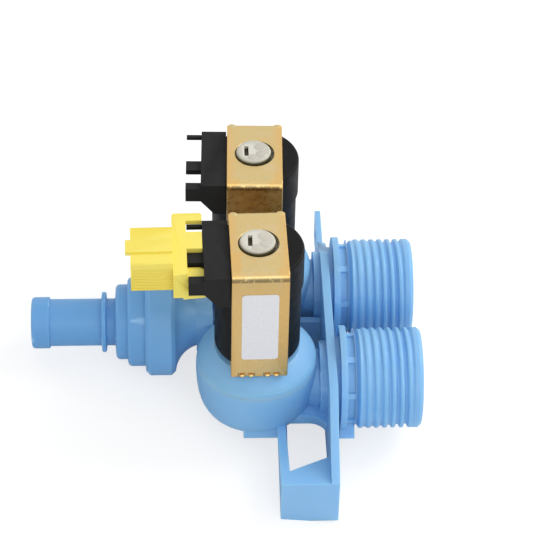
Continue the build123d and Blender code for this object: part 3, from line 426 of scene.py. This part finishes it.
class Finishes:
    """Every finish of the valve, built once."""

    def __init__(self) -> None:
        """Build the materials and keep them by slot."""
        self.by_slot: dict[Slot, bpy.types.Material] = {
            Slot.BLUE: MouldedPlastic(
                "light_blue_nylon", (0.245, 0.52, 0.84), (0.215, 0.49, 0.82), (0.29, 0.56, 0.87),
                roughness=0.42, grain=0.000012, glow=0.5, glow_depth=0.0022,
                patch=(0.14, 0.385, 0.73), patch_band=("X", FAR_END_X, 0.025, 0.052, False),
            ).make(),
            Slot.BLACK: MouldedPlastic(
                "black_overmoulding", (0.007, 0.007, 0.007), (0.005, 0.005, 0.005), (0.018, 0.018, 0.018),
                roughness=0.5, grain=0.00002, shine=0.12,
            ).make(),
            Slot.PLATED: PlatedSteel().make(),
            Slot.WHITE: MouldedPlastic(
                "natural_white_nylon", (0.62, 0.60, 0.51), (0.53, 0.51, 0.43), (0.68, 0.66, 0.58),
                roughness=0.4, grain=0.00002, glow=0.15,
                # The dark olive patch band sits at the height of the tip slot's floor: painted shade in the
                # slot.
                patch=(0.07, 0.06, 0.025), patch_band=("Z", 0.0492, 0.0006, 0.0011, False),
            ).make(),
            Slot.YELLOW: MouldedPlastic(
                "yellow_plug_plastic", (0.88, 0.70, 0.065), (0.85, 0.66, 0.05), (0.92, 0.78, 0.14),
                roughness=0.4, grain=0.000012, glow=0.15, glow_depth=0.001,
            ).make(),
            Slot.LABEL: CoatedPaper().make(),
            Slot.RUBBER: MouldedPlastic(
                "black_seal_rubber", (0.03, 0.03, 0.03), (0.02, 0.02, 0.02), (0.045, 0.045, 0.045),
                roughness=0.6,
            ).make(),
            Slot.STEEL: TurnedMetal("stainless_steel", (0.62, 0.61, 0.59), (0.48, 0.47, 0.46)).make(),
            Slot.BOBBIN: MouldedPlastic(
                "bobbin_nylon", (0.62, 0.56, 0.45), (0.55, 0.49, 0.39), (0.68, 0.62, 0.52), roughness=0.45,
            ).make(),
            Slot.COPPER: TurnedMetal("enamelled_copper", (0.78, 0.36, 0.17), (0.60, 0.24, 0.10), 0.28).make(),
            Slot.BLADE: TurnedMetal("tinned_brass", (0.66, 0.64, 0.58), (0.52, 0.50, 0.44), 0.26).make(),
            Slot.GREY: MouldedPlastic(
                "screen_plastic", (0.58, 0.59, 0.58), (0.50, 0.51, 0.50), (0.66, 0.67, 0.66), roughness=0.45,
            ).make(),
        }

    def dress_frame(self) -> None:
        """Give every carried-over CAD node the finish that the record names for it."""
        slots = {part["node"]: Slot(part["material_slot"]) for part in frame["record"]["subparts"]}
        for name, node in frame["nodes"].items():
            node.data.materials.clear()
            node.data.materials.append(self.by_slot[slots[name]])


def cad_mesh(node: str, joined: bool = True) -> bmesh.types.BMesh:
    """A welded copy of a CAD node.

    Args:
        node: Name of the CAD node.
        joined: True to join its flats to single faces.

    Returns:
        The copy.
    """
    mesh = bmesh.new()
    mesh.from_mesh(frame["nodes"][node].data)
    bmesh.ops.remove_doubles(mesh, verts=mesh.verts, dist=0.004 * MM)
    if joined:
        bmesh.ops.dissolve_limit(
            mesh, angle_limit=math.radians(0.8), use_dissolve_boundaries=False, verts=mesh.verts,
            edges=mesh.edges, delimit=set(),
        )
    return mesh


def along(table: list[Point], value: float) -> float:
    """Read a table, straight between its rows and level past its ends.

    Args:
        table: Rows of a value and its result, rising.
        value: The value that is looked up.

    Returns:
        The result.
    """
    if value <= table[0][0]:
        return table[0][1]
    for (low, first), (high, second) in zip(table, table[1:]):
        if value <= high:
            return first + (second - first) * (value - low) / (high - low)
    return table[-1][1]


def draw_in(mesh: bmesh.types.BMesh, side: str, rings: list[Corner], fade: float = 3.0) -> None:
    """Give a turned wall a softer outline, and carry along what joins it.

    Args:
        mesh: The mesh to change.
        side: The valve whose axis the wall is turned about.
        rings: Height, present radius and new radius of each ring, in millimetres.
        fade: How far outside the wall the change dies away.
    """
    present = [(z, old) for z, old, _ in rings]
    shrink = [(z, old - new) for z, old, new in rings]
    for vert in mesh.verts:
        x, y, z = vert.co.x / MM - COIL_X, vert.co.y / MM - VALVE_Y[side], vert.co.z / MM
        radius, wall = math.hypot(x, y), along(present, z)
        if not rings[0][0] - 0.05 < z < rings[-1][0] + 0.05 or not wall - 0.5 < radius < wall + fade:
            continue
        share = 1.0 - max(0.0, radius - wall) / fade
        scale = 1.0 - along(shrink, z) * share / radius
        vert.co.x = (COIL_X + x * scale) * MM
        vert.co.y = (VALVE_Y[side] + y * scale) * MM


def round_edges(mesh: bmesh.types.BMesh, width: float, segments: int = 2, crease: float = 32.0,
                where: Callable[[Vector], bool] = lambda place: True) -> None:
    """Round the sharp edges of a mesh.

    Args:
        mesh: The mesh to change.
        width: Size of the rounding in millimetres.
        segments: Faces across it.
        crease: Smallest angle between faces, in degrees, that counts as an edge.
        where: Tells from an edge's middle, in millimetres, whether the edge is rounded.
    """
    sharp = [
        edge for edge in mesh.edges
        if len(edge.link_faces) == 2 and edge.calc_face_angle(0.0) > math.radians(crease)
        and where((edge.verts[0].co + edge.verts[1].co) / (2 * MM))
    ]
    bmesh.ops.bevel(
        mesh, geom=sharp, offset=width * MM, offset_type="OFFSET", segments=segments, profile=0.5,
        affect="EDGES", clamp_overlap=True, material=-1,
    )


def rounded(corners: list[Corner], segments: int = 5) -> list[Point]:
    """A closed outline with round corners.

    Args:
        corners: Place, height and rounding of each corner, in millimetres.
        segments: Steps round each corner.

    Returns:
        The outline's points.
    """
    outline: list[Point] = []
    for index, (x, y, radius) in enumerate(corners):
        here = Vector((x, y))
        before = (Vector(corners[index - 1][:2]) - here).normalized()
        after = (Vector(corners[(index + 1) % len(corners)][:2]) - here).normalized()
        half = before.angle(after) / 2
        if radius <= 0:
            outline.append((x, y))
            continue
        centre = here + (before + after).normalized() * radius / math.sin(half)
        start = here + before * radius / math.tan(half) - centre
        end = here + after * radius / math.tan(half) - centre
        for step in range(segments + 1):
            share = step / segments
            spoke = centre + start.slerp(end, share) * radius
            outline.append((spoke.x, spoke.y))
    return outline


def lump(mesh: bmesh.types.BMesh, centre: Vector, size: Vector) -> None:
    """Add a small egg-shaped bump.

    Args:
        mesh: The mesh that takes the bump.
        centre: Its middle, in metres.
        size: Its half sizes, in metres.
    """
    matrix = Matrix.Translation(centre) @ Matrix.Diagonal((*size, 1.0))
    bmesh.ops.create_uvsphere(mesh, u_segments=24, v_segments=16, radius=1.0, matrix=matrix)


def bar(mesh: bmesh.types.BMesh, matrix: Matrix, low: Vector, high: Vector, edge: float) -> None:
    """Add a small bar with rounded edges.

    Args:
        mesh: The mesh that takes the bar.
        matrix: Where its own frame stands.
        low: Its low corner, in millimetres.
        high: Its high corner, in millimetres.
        edge: Size of the rounding, in millimetres.
    """
    own = bmesh.new()
    bmesh.ops.create_cube(own, size=1.0)
    for vert in own.verts:
        vert.co = Vector((low[i] + (high[i] - low[i]) * (vert.co[i] + 0.5) for i in range(3))) * MM
    bmesh.ops.bevel(
        own, geom=own.edges[:], offset=edge * MM, offset_type="OFFSET", segments=2, profile=0.5,
        affect="EDGES", clamp_overlap=True, material=-1,
    )
    bmesh.ops.transform(own, matrix=matrix, verts=own.verts)
    add_in(mesh, own)


def add_in(mesh: bmesh.types.BMesh, part: bmesh.types.BMesh) -> None:
    """Move one mesh into another.

    Args:
        mesh: The mesh that takes the part.
        part: The part, which is used up.
    """
    data = bpy.data.meshes.new("part")
    part.to_mesh(data)
    part.free()
    mesh.from_mesh(data)
    bpy.data.meshes.remove(data)


def coil_frame(side: str) -> Matrix:
    """The frame that a coil and its bracket are turned in.

    Args:
        side: Which valve.

    Returns:
        The frame, with its origin on the valve's axis at the height of the shared origin.
    """
    place = Matrix.Translation(Vector((COIL_X, VALVE_Y[side], 0)) * MM)
    return place @ Matrix.Rotation(math.radians(TURN[side]), 4, "Z")


def turned(outline: list[Point], centre: Vector, axis: Vector, out: Vector,
           steps: int = 96) -> bmesh.types.BMesh:
    """A closed outline spun about an axis.

    Args:
        outline: Places along the axis and radii, in millimetres.
        centre: Where the axis starts, in metres.
        axis: Direction of the axis.
        out: Direction from the axis in which the outline lies.
        steps: Faces round the turn.

    Returns:
        The turned mesh.
    """
    mesh = bmesh.new()
    verts = [mesh.verts.new(centre + axis * place * MM + out * radius * MM) for place, radius in outline]
    edges = [mesh.edges.new((a, b)) for a, b in zip(verts, verts[1:] + verts[:1])]
    bmesh.ops.spin(
        mesh, geom=verts + edges, cent=centre, axis=axis, dvec=(0, 0, 0), angle=math.tau, steps=steps,
        use_merge=True, use_duplicate=False,
    )
    bmesh.ops.remove_doubles(mesh, verts=mesh.verts, dist=0.0005 * MM)
    bmesh.ops.recalc_face_normals(mesh, faces=mesh.faces)
    return mesh


def show(mesh: bmesh.types.BMesh, name: str, finish: bpy.types.Material,
         stands_for: tuple[str, ...], crease: float = 38.0) -> bpy.types.Object:
    """Turn a finished mesh into a piece that rides on its body.

    Args:
        mesh: The mesh, in metres and in place.
        name: The piece's name.
        finish: Its material.
        stands_for: CAD nodes that it replaces.
        crease: Angle in degrees past which an edge is shaded sharp.

    Returns:
        The piece.
    """
    data = bpy.data.meshes.new(name)
    mesh.to_mesh(data)
    mesh.free()
    for face in data.polygons:
        face.use_smooth = True
    data.set_sharp_from_angle(angle=math.radians(crease))
    data.materials.append(finish)
    piece = bpy.data.objects.new(name, data)
    bpy.context.scene.collection.objects.link(piece)
    weights = piece.modifiers.new("even_shading", "WEIGHTED_NORMAL")
    weights.keep_sharp = True
    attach(piece, Body.VALVE.value)
    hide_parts(*stands_for)
    log.info("%s: %d faces", name, len(data.polygons))
    return piece


@dataclass
class HoseThread:
    """The helical thread of one hose inlet, in millimetres."""

    start: float = 5.2
    end: float = 23.1
    root: float = 12.2
    crest: float = 13.5
    pitch: float = 2.209
    lead: float = 0.8
    deepest: float = 0.78
    depths: list[Point] = field(default_factory=lambda: [
        (7.0, 0.35), (13.0, 0.6), (17.5, 1.0), (19.6, 1.0), (21.0, 0.0),
    ])
    throat: float = 8.4
    bore: float = 10.0
    shoulder: float = 11.0
    samples: int = 13
    steps: int = 112

    def height(self, place: float, turn: float) -> float:
        """Thread height as a share of its depth.

        Args:
            place: Place along the axis.
            turn: Angle round it, in radians.

        Returns:
            0 in the root and 1 on the crest.
        """
        phase = (place / self.pitch - turn / math.tau) % 1.0
        ridge = min(1.0, max(0.0, (0.86 - abs(2.0 * phase - 1.0)) / 0.6))
        ridge = ridge * ridge * (3.0 - 2.0 * ridge)
        fade_in = min(1.0, max(0.0, (place - self.start - 0.4) / 0.9))
        depth = along(self.depths, place)
        lead = along([(self.end - self.lead, 1.0), (self.end, 0.45)], place)
        return (1.0 - (1.0 - ridge) * depth * self.deepest) * fade_in * lead

    def mesh(self, y: float) -> bmesh.types.BMesh:
        """Build one threaded spigot.

        Args:
            y: Place of its axis, in millimetres.

        Returns:
            The closed mesh.
        """
        count = int((self.end - self.start) / self.pitch * self.samples)
        outer = [(self.start + (self.end - self.start) * i / count, self.root) for i in range(count + 1)]
        inner = rounded([
            (self.end, self.bore, 0.6), (self.shoulder, self.bore, 0.0), (self.shoulder, self.throat, 0.0),
            (self.start, self.throat, 0.0), (self.start, self.root, 0.0), (self.end, self.root, 0.0),
        ], 3)[:-2]
        centre = Vector((0, y * MM, 0))
        mesh = turned(outer + inner, centre, Vector((1, 0, 0)), Vector((0, 0, 1)), self.steps)
        for vert in mesh.verts:
            away = vert.co - centre
            radius = math.hypot(away.y, away.z)
            if radius > (self.root - 0.05) * MM:
                share = self.height(vert.co.x / MM, math.atan2(away.z, away.y))
                rise = 1.0 + share * (self.crest - self.root) * MM / radius
                vert.co.y = centre.y + away.y * rise
                vert.co.z = away.z * rise
        return mesh


@dataclass
class BodyMoulding:
    """The blue body: the CAD solid with rounded edges and real threads on its spigots."""

    cut: float = 5.2
    break_width: float = 0.35
    drum_width: float = 0.46
    bowl: list[Corner] = field(default_factory=lambda: [
        (-5.7, 14.3, 14.3), (-4.6, 15.4, 14.85), (-3.5, 16.5, 15.25), (-1.5, 16.5, 15.7), (1.5, 16.5, 16.05),
        (5.0, 16.5, 16.2), (7.2, 16.5, 16.17), (8.2, 16.5, 16.05),
    ])
    levels: tuple[float, ...] = (7.2, 5.0, 1.5, -1.5, -4.6)
    wall_in: float = 14.0
    wall_out: float = 16.6
    wall_foot: float = -5.8
    drum_x: float = -41.0
    drum_radius: float = 13.3
    rib_low: Corner = (-9.4, 5.2, -13.4)
    rib_high: Corner = (-2.0, 7.3, -1.0)
    rib_slope: float = 6.0
    thread: HoseThread = field(default_factory=HoseThread)

    def on_drum(self, place: Vector) -> bool:
        """Tell whether an edge belongs to the drum's rim.

        Args:
            place: The edge's middle, in millimetres.

        Returns:
            True on the drum's rim.
        """
        return place.x < self.drum_x and math.hypot(place.y, place.z - OUTLET_Z) > self.drum_radius

    def elsewhere(self, place: Vector) -> bool:
        """Tell whether an edge takes the small rounding.

        Args:
            place: The edge's middle, in millimetres.

        Returns:
            True off the drum's rim and off the joint with the bonnets.
        """
        return not self.on_drum(place) and abs(place.z - CUP_RIM_Z) > 0.1

    def soften(self, mesh: bmesh.types.BMesh, side: str) -> None:
        """Turn a chamber's plain wall into the real one's soft bowl.

        Args:
            mesh: The body's mesh.
            side: Which chamber.
        """
        def on_wall(vert: bmesh.types.BMVert) -> bool:
            x, y, z = vert.co / MM
            radius = math.hypot(x - COIL_X, y - VALVE_Y[side])
            return self.wall_in < radius < self.wall_out and self.wall_foot < z < CUP_RIM_Z + 0.1

        for level in self.levels:
            wall = [face for face in mesh.faces if all(on_wall(vert) for vert in face.verts)]
            edges = {edge for face in wall for edge in face.edges}
            verts = {vert for face in wall for vert in face.verts}
            bmesh.ops.bisect_plane(
                mesh, geom=[*verts, *edges, *wall], dist=0.001 * MM, plane_co=(0, 0, level * MM),
                plane_no=(0, 0, 1),
            )
        draw_in(mesh, side, self.bowl)

    def gusset(self, mesh: bmesh.types.BMesh) -> None:
        """Add the rib that ties the rear chamber to the plate under its duct.

        Args:
            mesh: The body's mesh.
        """
        low, high = Vector(self.rib_low), Vector(self.rib_high)
        rib = bmesh.new()
        bar(rib, Matrix.Identity(4), low, high, self.break_width)
        for vert in rib.verts:
            share = (high.x - vert.co.x / MM) / (high.x - low.x)
            if vert.co.z / MM < (low.z + high.z) / 2:
                vert.co.z += self.rib_slope * share * MM
        add_in(mesh, rib)

    def build(self, finishes: Finishes) -> None:
        """Build the body and dress it.

        Args:
            finishes: The valve's finishes.
        """
        mesh = cad_mesh("valve_body")
        plane = bmesh.ops.bisect_plane(
            mesh, geom=mesh.verts[:] + mesh.edges[:] + mesh.faces[:], dist=0.001 * MM,
            plane_co=((self.cut + 0.02) * MM, 0, 0), plane_no=(1, 0, 0), clear_outer=True,
        )
        rim = [item for item in plane["geom_cut"] if isinstance(item, bmesh.types.BMEdge)]
        bmesh.ops.holes_fill(mesh, edges=rim, sides=0)
        round_edges(mesh, self.drum_width, 3, where=self.on_drum)
        round_edges(mesh, self.break_width, where=self.elsewhere)
        for side, y in VALVE_Y.items():
            self.soften(mesh, side)
            add_in(mesh, self.thread.mesh(y))
        self.gusset(mesh)
        show(mesh, "body_moulding", finishes.by_slot[Slot.BLUE], ("valve_body",))


@dataclass
class OutletFitting:
    """The welded outlet cap with its hose barb."""

    soft: float = 1.15

    def build(self, finishes: Finishes) -> None:
        """Build the fitting and dress it.

        Args:
            finishes: The valve's finishes.
        """
        outline = rounded([
            (-47.5, 4.5, 0.0), (-47.5, 12.3, 0.0), (-50.5, 12.3, 0.0), (-50.5, 12.1, 0.0),
            (-55.3, 12.1, self.soft), (-55.3, 10.2, 0.3), (-58.5, 10.2, self.soft), (-58.5, 6.4, 0.5),
            (-61.1, 6.4, 0.4), (-61.1, 8.2, 0.4), (-62.3, 8.2, 0.4), (-62.3, 6.4, 0.4),
            (-76.4, 6.4, 0.2), (-76.4, 7.0, 0.3), (-81.3, 7.0, 0.9), (-81.3, 4.5, 0.4),
        ])
        mesh = turned(outline, Vector((0, 0, OUTLET_Z * MM)), Vector((1, 0, 0)), Vector((0, 0, 1)))
        show(mesh, "outlet_barb_moulding", finishes.by_slot[Slot.BLUE], ("outlet_fitting",))


@dataclass
class ValveTower:
    """What stands on one chamber: bonnet, tube, coil and steel bracket."""

    side: str
    stake_pitch: float = 6.6
    bump_pitch: float = 2.3
    stake_back: float = 0.35
    stake_size: Corner = (0.72, 0.5, 0.45)
    crimp_size: Corner = (1.1, 0.9, 0.19)
    tip_shift: float = -0.3
    tip_lumps: tuple[Corner, ...] = ((1.7, 1.6, 1.6), (2.0, -1.3, 1.5), (-0.3, -2.6, 1.3))
    shoulder: list[Corner] = field(default_factory=lambda: [
        (8.2, 16.5, 16.05), (9.4, 16.5, 15.85), (10.2, 16.28, 15.4), (10.7, 15.8, 15.0), (11.5, 14.7, 14.25),
        (12.3, 13.6, 13.35), (13.1, 12.5, 12.4), (13.9, 11.4, 11.4),
    ])
    finger_y: list[Point] = field(default_factory=lambda: [
        (-11.9, -11.9), (-10.5, -9.25), (-4.7, -4.2), (-0.3, -0.45), (8.4, 9.3), (10.4, 10.4),
    ])

    def dressed(self, node: str, slot: Slot, finishes: Finishes, width: float, segments: int = 2,
                change: Callable[[bmesh.types.BMesh], None] | None = None,
                shape: Callable[[bmesh.types.BMesh], None] | None = None, joined: bool = True,
                where: Callable[[Vector], bool] = lambda place: True) -> None:
        """Show a rounded copy of one CAD node.

        Args:
            node: The node's name without its side.
            slot: The slot whose finish it takes.
            finishes: The valve's finishes.
            width: Size of the rounding, in millimetres.
            segments: Faces across the rounding.
            change: What is done to the copy after the rounding, or None.
            shape: What is done to it before, or None.
            joined: True to join the copy's flats to single faces.
            where: Tells which edges are rounded.
        """
        name = f"{node}_{self.side}"
        mesh = cad_mesh(name, joined)
        if shape:
            shape(mesh)
        round_edges(mesh, width, segments, where=where)
        if change:
            change(mesh)
        show(mesh, f"{name}_dressed", finishes.by_slot[slot], (name,))

    def stake(self, mesh: bmesh.types.BMesh) -> None:
        """Set the tongues back and spread two punched bumps on each."""
        own = coil_frame(self.side)
        back = own.inverted()
        for vert in mesh.verts:
            place = back @ vert.co
            if abs(place.y) > STRAP_DEPTH / 2 * MM:
                place.y = math.copysign((STRAP_DEPTH / 2 - self.stake_back) * MM, place.y)
                vert.co = own @ place
        for face in (-1, 1):
            for tongue in (-0.5, 0.5):
                for bump in (-0.5, 0.5):
                    place = tongue * self.stake_pitch + bump * self.bump_pitch
                    centre = own @ (Vector((place, face * (STRAP_DEPTH / 2 + 0.02), SEAT_Z + 0.5)) * MM)
                    lump(mesh, centre, Vector(self.stake_size) * MM)

    def crimp(self, mesh: bmesh.types.BMesh) -> None:
        """Raise the two punched corners at the back of the bracket's top."""
        own = coil_frame(self.side)
        for corner in (-1, 1):
            centre = own @ (Vector((corner * 6.1, STRAP_DEPTH / 2 - 1.5, STRAP_TOP_Z - 0.1)) * MM)
            lump(mesh, centre, Vector(self.crimp_size) * MM)

    def dome(self, mesh: bmesh.types.BMesh) -> None:
        """Give the bonnet its one soft shoulder."""
        draw_in(mesh, self.side, self.shoulder)

    def comb(self, mesh: bmesh.types.BMesh) -> None:
        """Set the header's fingers where the real comb has them."""
        own = coil_frame(self.side)
        back = own.inverted()
        for vert in mesh.verts:
            x, y, z = (back @ vert.co) / MM
            if x < -HEADER_REACH + 0.05 and 44.0 < z < 46.5 or x < -HEADER_REACH - 0.5:
                lift = [(42.8, 42.8), (44.6, 46.1 if y > 5 else 45.5), (46.0, 47.0)]
                vert.co = own @ (Vector((x, along(self.finger_y, y), along(lift, z))) * MM)

    def shift_tip(self, mesh: bmesh.types.BMesh) -> None:
        """Let the tube's tip sit off the middle of the bracket's hole, its upset end a little lumpy."""
        for vert in mesh.verts:
            if vert.co.z > (STRAP_TOP_Z - 1.25) * MM:
                vert.co.x += self.tip_shift * MM
        own = coil_frame(self.side)
        for x, y, wide in self.tip_lumps:
            centre = own @ (Vector((x + self.tip_shift, y, TIP_Z - 0.03)) * MM)
            lump(mesh, centre, Vector((wide, wide * 0.9, 0.19)) * MM)

    def yielding(self, node: str, slot: Slot, finishes: Finishes) -> None:
        """Show a copy of one CAD node, with mesh data of its own.

        Args:
            node: The node's name without its side.
            slot: The slot whose finish it takes.
            finishes: The valve's finishes.
        """
        name = f"{node}_{self.side}"
        piece = show(cad_mesh(name, False), f"{name}_dressed", finishes.by_slot[slot], (name,))
        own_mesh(piece)

    def build(self, finishes: Finishes) -> None:
        """Build the tower's visible pieces.

        Args:
            finishes: The valve's finishes.
        """
        self.dressed(
            "bonnet", Slot.BLUE, finishes, 0.12, 1, shape=self.dome, joined=False,
            where=lambda place: place.z > CUP_RIM_Z + 0.2,
        )
        self.dressed("guide_tube", Slot.WHITE, finishes, 0.18, 2, self.shift_tip)
        self.dressed("coil_bracket", Slot.PLATED, finishes, 0.2, 2, self.crimp)
        self.dressed("bracket_base", Slot.PLATED, finishes, 0.12, 1, self.stake)
        self.dressed("coil_body", Slot.BLACK, finishes, 0.3, 2, shape=self.comb)
        self.yielding("plunger_spring", Slot.STEEL, finishes)
        self.yielding("diaphragm", Slot.RUBBER, finishes)


@dataclass
class Plug:
    """The yellow plug on the front coil, with fine ribs on its front face."""

    ribs: int = 7
    rib_pitch: float = 1.05
    rib_low: Corner = (-32.3, -7.98, 0.0)
    rib_high: Corner = (-22.2, -7.5, 0.5)
    foot_z: float = 41.4
    body_z: list[Point] = field(default_factory=lambda: [(41.55, 40.8), (45.0, 45.0), (52.0, 52.0)])
    collar_z: list[Point] = field(default_factory=lambda: [
        (37.4, 39.9), (39.2, 40.5), (39.6, 40.7), (42.6, 43.4), (43.0, 44.0), (43.5, 44.2), (44.4, 44.7),
        (46.0, 46.0), (52.0, 52.0),
    ])
    latch_z: list[Point] = field(default_factory=lambda: [(44.0, 46.9), (48.2, 48.2), (52.0, 52.0)])
    collar_y: list[Point] = field(default_factory=lambda: [(-10.4, -9.7), (-8.0, -8.0), (20.0, 20.0)])

    def settle(self, mesh: bmesh.types.BMesh) -> None:
        """Set the plug's foot, keys and latch where the real plug has them."""
        own = coil_frame("front")
        back = own.inverted()
        for vert in mesh.verts:
            x, y, z = (back @ vert.co) / MM
            if x < PLUG_BODY_X - 0.05 or x < PLUG_BODY_X + 0.05 and -9.0 < y < 7.5:
                z = along(self.body_z, z)
            elif y > 9.5:
                z = along(self.latch_z, z)
            else:
                z = along(self.collar_z, z)
                y = along(self.collar_y, y) if x > -18.45 else y
            vert.co = own @ (Vector((x, y, z)) * MM)

    def build(self, finishes: Finishes) -> None:
        """Build the plug and dress it.

        Args:
            finishes: The valve's finishes.
        """
        mesh = cad_mesh("connector_plug")
        self.settle(mesh)
        round_edges(mesh, 0.3, 2)
        own = coil_frame("front")
        for index in range(self.ribs):
            rise = Vector((0, 0, self.foot_z + index * self.rib_pitch))
            bar(mesh, own, Vector(self.rib_low) + rise, Vector(self.rib_high) + rise, 0.12)
        show(mesh, "plug_moulding", finishes.by_slot[Slot.YELLOW], ("connector_plug",))


@dataclass(frozen=True)
class PhotoCamera:
    """The camera that saw the photograph."""

    azimuth: float = 2.47
    elevation: float = 43.57
    roll: float = 1.04
    distance: float = 0.638
    pixels_a_metre: float = 3705.0
    centre: tuple[float, float] = (258.0, 293.3)
    target: tuple[float, float, float] = (-0.020, 0.0, 0.015)
    frame_side: float = 550.0

    def place(self) -> None:
        """Make the camera and point it."""
        turn, rise, roll = (math.radians(x) for x in (self.azimuth, self.elevation, self.roll))
        ahead = Vector((math.sin(turn) * math.cos(rise), math.cos(turn) * math.cos(rise), -math.sin(rise)))
        right = Vector((math.cos(turn), -math.sin(turn), 0.0))
        up = right.cross(ahead)
        rolled_right = math.cos(roll) * right + math.sin(roll) * up
        rolled_up = -math.sin(roll) * right + math.cos(roll) * up
        data = bpy.data.cameras.new("photo_camera")
        data.sensor_width = 36.0
        data.lens = self.pixels_a_metre * self.distance / self.frame_side * data.sensor_width
        half = self.frame_side / 2
        data.shift_x = (half - self.centre[0]) / self.frame_side
        data.shift_y = (self.centre[1] - half) / self.frame_side
        data.clip_start, data.clip_end = 0.01, 20.0
        camera = bpy.data.objects.new("photo_camera", data)
        bpy.context.scene.collection.objects.link(camera)
        axes = Matrix((rolled_right, rolled_up, -ahead)).transposed().to_4x4()
        camera.matrix_world = Matrix.Translation(Vector(self.target) - ahead * self.distance) @ axes
        bpy.context.scene.camera = camera


@dataclass(frozen=True)
class Studio:
    """White floor, soft lamps and a white surround."""

    surround: float = 0.70
    key_power: float = 3.4
    fill_power: float = 1.7

    def floor(self) -> None:
        """Lay the floor where the valve really rests: under hook, discs and drum."""
        board = NodeBoard("studio_floor")
        base = board.add("ShaderNodeBsdfDiffuse")
        base.inputs["Color"].default_value = (0.8, 0.8, 0.8, 1.0)
        pale = board.add("ShaderNodeBsdfDiffuse")
        tone = board.ramp(board.noise(3.0, 2.0), [(0.3, (0.40, 0.40, 0.40)), (0.7, (0.41, 0.41, 0.41))])
        board.link(tone, pale.inputs["Color"])
        glow = board.add("ShaderNodeEmission")
        glow.inputs["Strength"].default_value = 0.68
        seen = board.add("ShaderNodeAddShader")
        board.link(pale.outputs["BSDF"], seen.inputs[0])
        board.link(glow.outputs["Emission"], seen.inputs[1])
        ray = board.add("ShaderNodeLightPath")
        mix = board.add("ShaderNodeMixShader")
        board.link(ray.outputs["Is Camera Ray"], mix.inputs["Fac"])
        board.link(base.outputs["BSDF"], mix.inputs[1])
        board.link(seen.outputs["Shader"], mix.inputs[2])
        board.link(mix.outputs["Shader"], board.output.inputs["Surface"])
        places = ((-7.6, -52.65, -17.9), (2.2, 17.65, -14.2), (-46.4, 0.0, -9.8))
        rests = [Vector(place) * MM for place in places]
        normal = (rests[1] - rests[0]).cross(rests[2] - rests[0]).normalized()
        normal = normal if normal.z > 0 else -normal
        mesh = bmesh.new()
        bmesh.ops.create_grid(mesh, x_segments=8, y_segments=8, size=3.0)
        turn = Vector((0, 0, 1)).rotation_difference(normal).to_matrix().to_4x4()
        bmesh.ops.transform(mesh, matrix=Matrix.Translation(rests[0]) @ turn, verts=mesh.verts)
        data = bpy.data.meshes.new("studio_floor")
        mesh.to_mesh(data)
        mesh.free()
        data.materials.append(board.material)
        floor = bpy.data.objects.new("studio_floor", data)
        bpy.context.scene.collection.objects.link(floor)

    def lamp(self, name: str, place: tuple[float, float, float], size: float, power: float) -> None:
        """Hang one soft lamp.

        Args:
            name: The lamp's name.
            place: Where it hangs, in metres.
            size: Side of its square face, in metres.
            power: Its power in watts.
        """
        data = bpy.data.lights.new(name, "AREA")
        data.shape, data.size, data.energy = "SQUARE", size, power
        lamp = bpy.data.objects.new(name, data)
        bpy.context.scene.collection.objects.link(lamp)
        lamp.location = place
        aim = Vector((-0.02, 0.0, 0.01)) - Vector(place)
        lamp.rotation_mode = "QUATERNION"
        lamp.rotation_quaternion = aim.to_track_quat("-Z", "Y")

    def light(self) -> None:
        """Set the surround and the lamps."""
        world = bpy.data.worlds.new("studio_surround")
        bpy.context.scene.world = world
        world.use_nodes = True
        tree = world.node_tree
        tree.nodes.clear()
        output = tree.nodes.new("ShaderNodeOutputWorld")
        mix = tree.nodes.new("ShaderNodeMixShader")
        ray = tree.nodes.new("ShaderNodeLightPath")
        for index, strength in ((1, self.surround), (2, 1.0)):
            back = tree.nodes.new("ShaderNodeBackground")
            back.inputs["Color"].default_value = (1.0, 1.0, 1.0, 1.0)
            back.inputs["Strength"].default_value = strength
            tree.links.new(back.outputs["Background"], mix.inputs[index])
        white = ray.outputs["Is Camera Ray"]
        for kind in ("Is Glossy Ray", "Is Transmission Ray"):
            both = tree.nodes.new("ShaderNodeMath")
            both.operation = "MAXIMUM"
            tree.links.new(white, both.inputs[0])
            tree.links.new(ray.outputs[kind], both.inputs[1])
            white = both.outputs[0]
        tree.links.new(white, mix.inputs["Fac"])
        tree.links.new(mix.outputs["Shader"], output.inputs["Surface"])
        self.lamp("key_lamp", (0.58, 0.25, 0.62), 0.5, self.key_power)
        self.lamp("fill_lamp", (0.15, -0.75, 0.55), 0.7, self.fill_power)
        scene = bpy.context.scene
        scene.view_settings.view_transform = "Standard"


def main() -> None:
    """Build the valve's looks in order."""
    logging.basicConfig(level=logging.INFO)
    finishes = Finishes()
    finishes.dress_frame()
    BodyMoulding().build(finishes)
    OutletFitting().build(finishes)
    for side in ("front", "rear"):
        ValveTower(side).build(finishes)
    Plug().build(finishes)
    studio = Studio()
    studio.floor()
    studio.light()
    PhotoCamera().place()


if __name__ == "__main__":
    main()
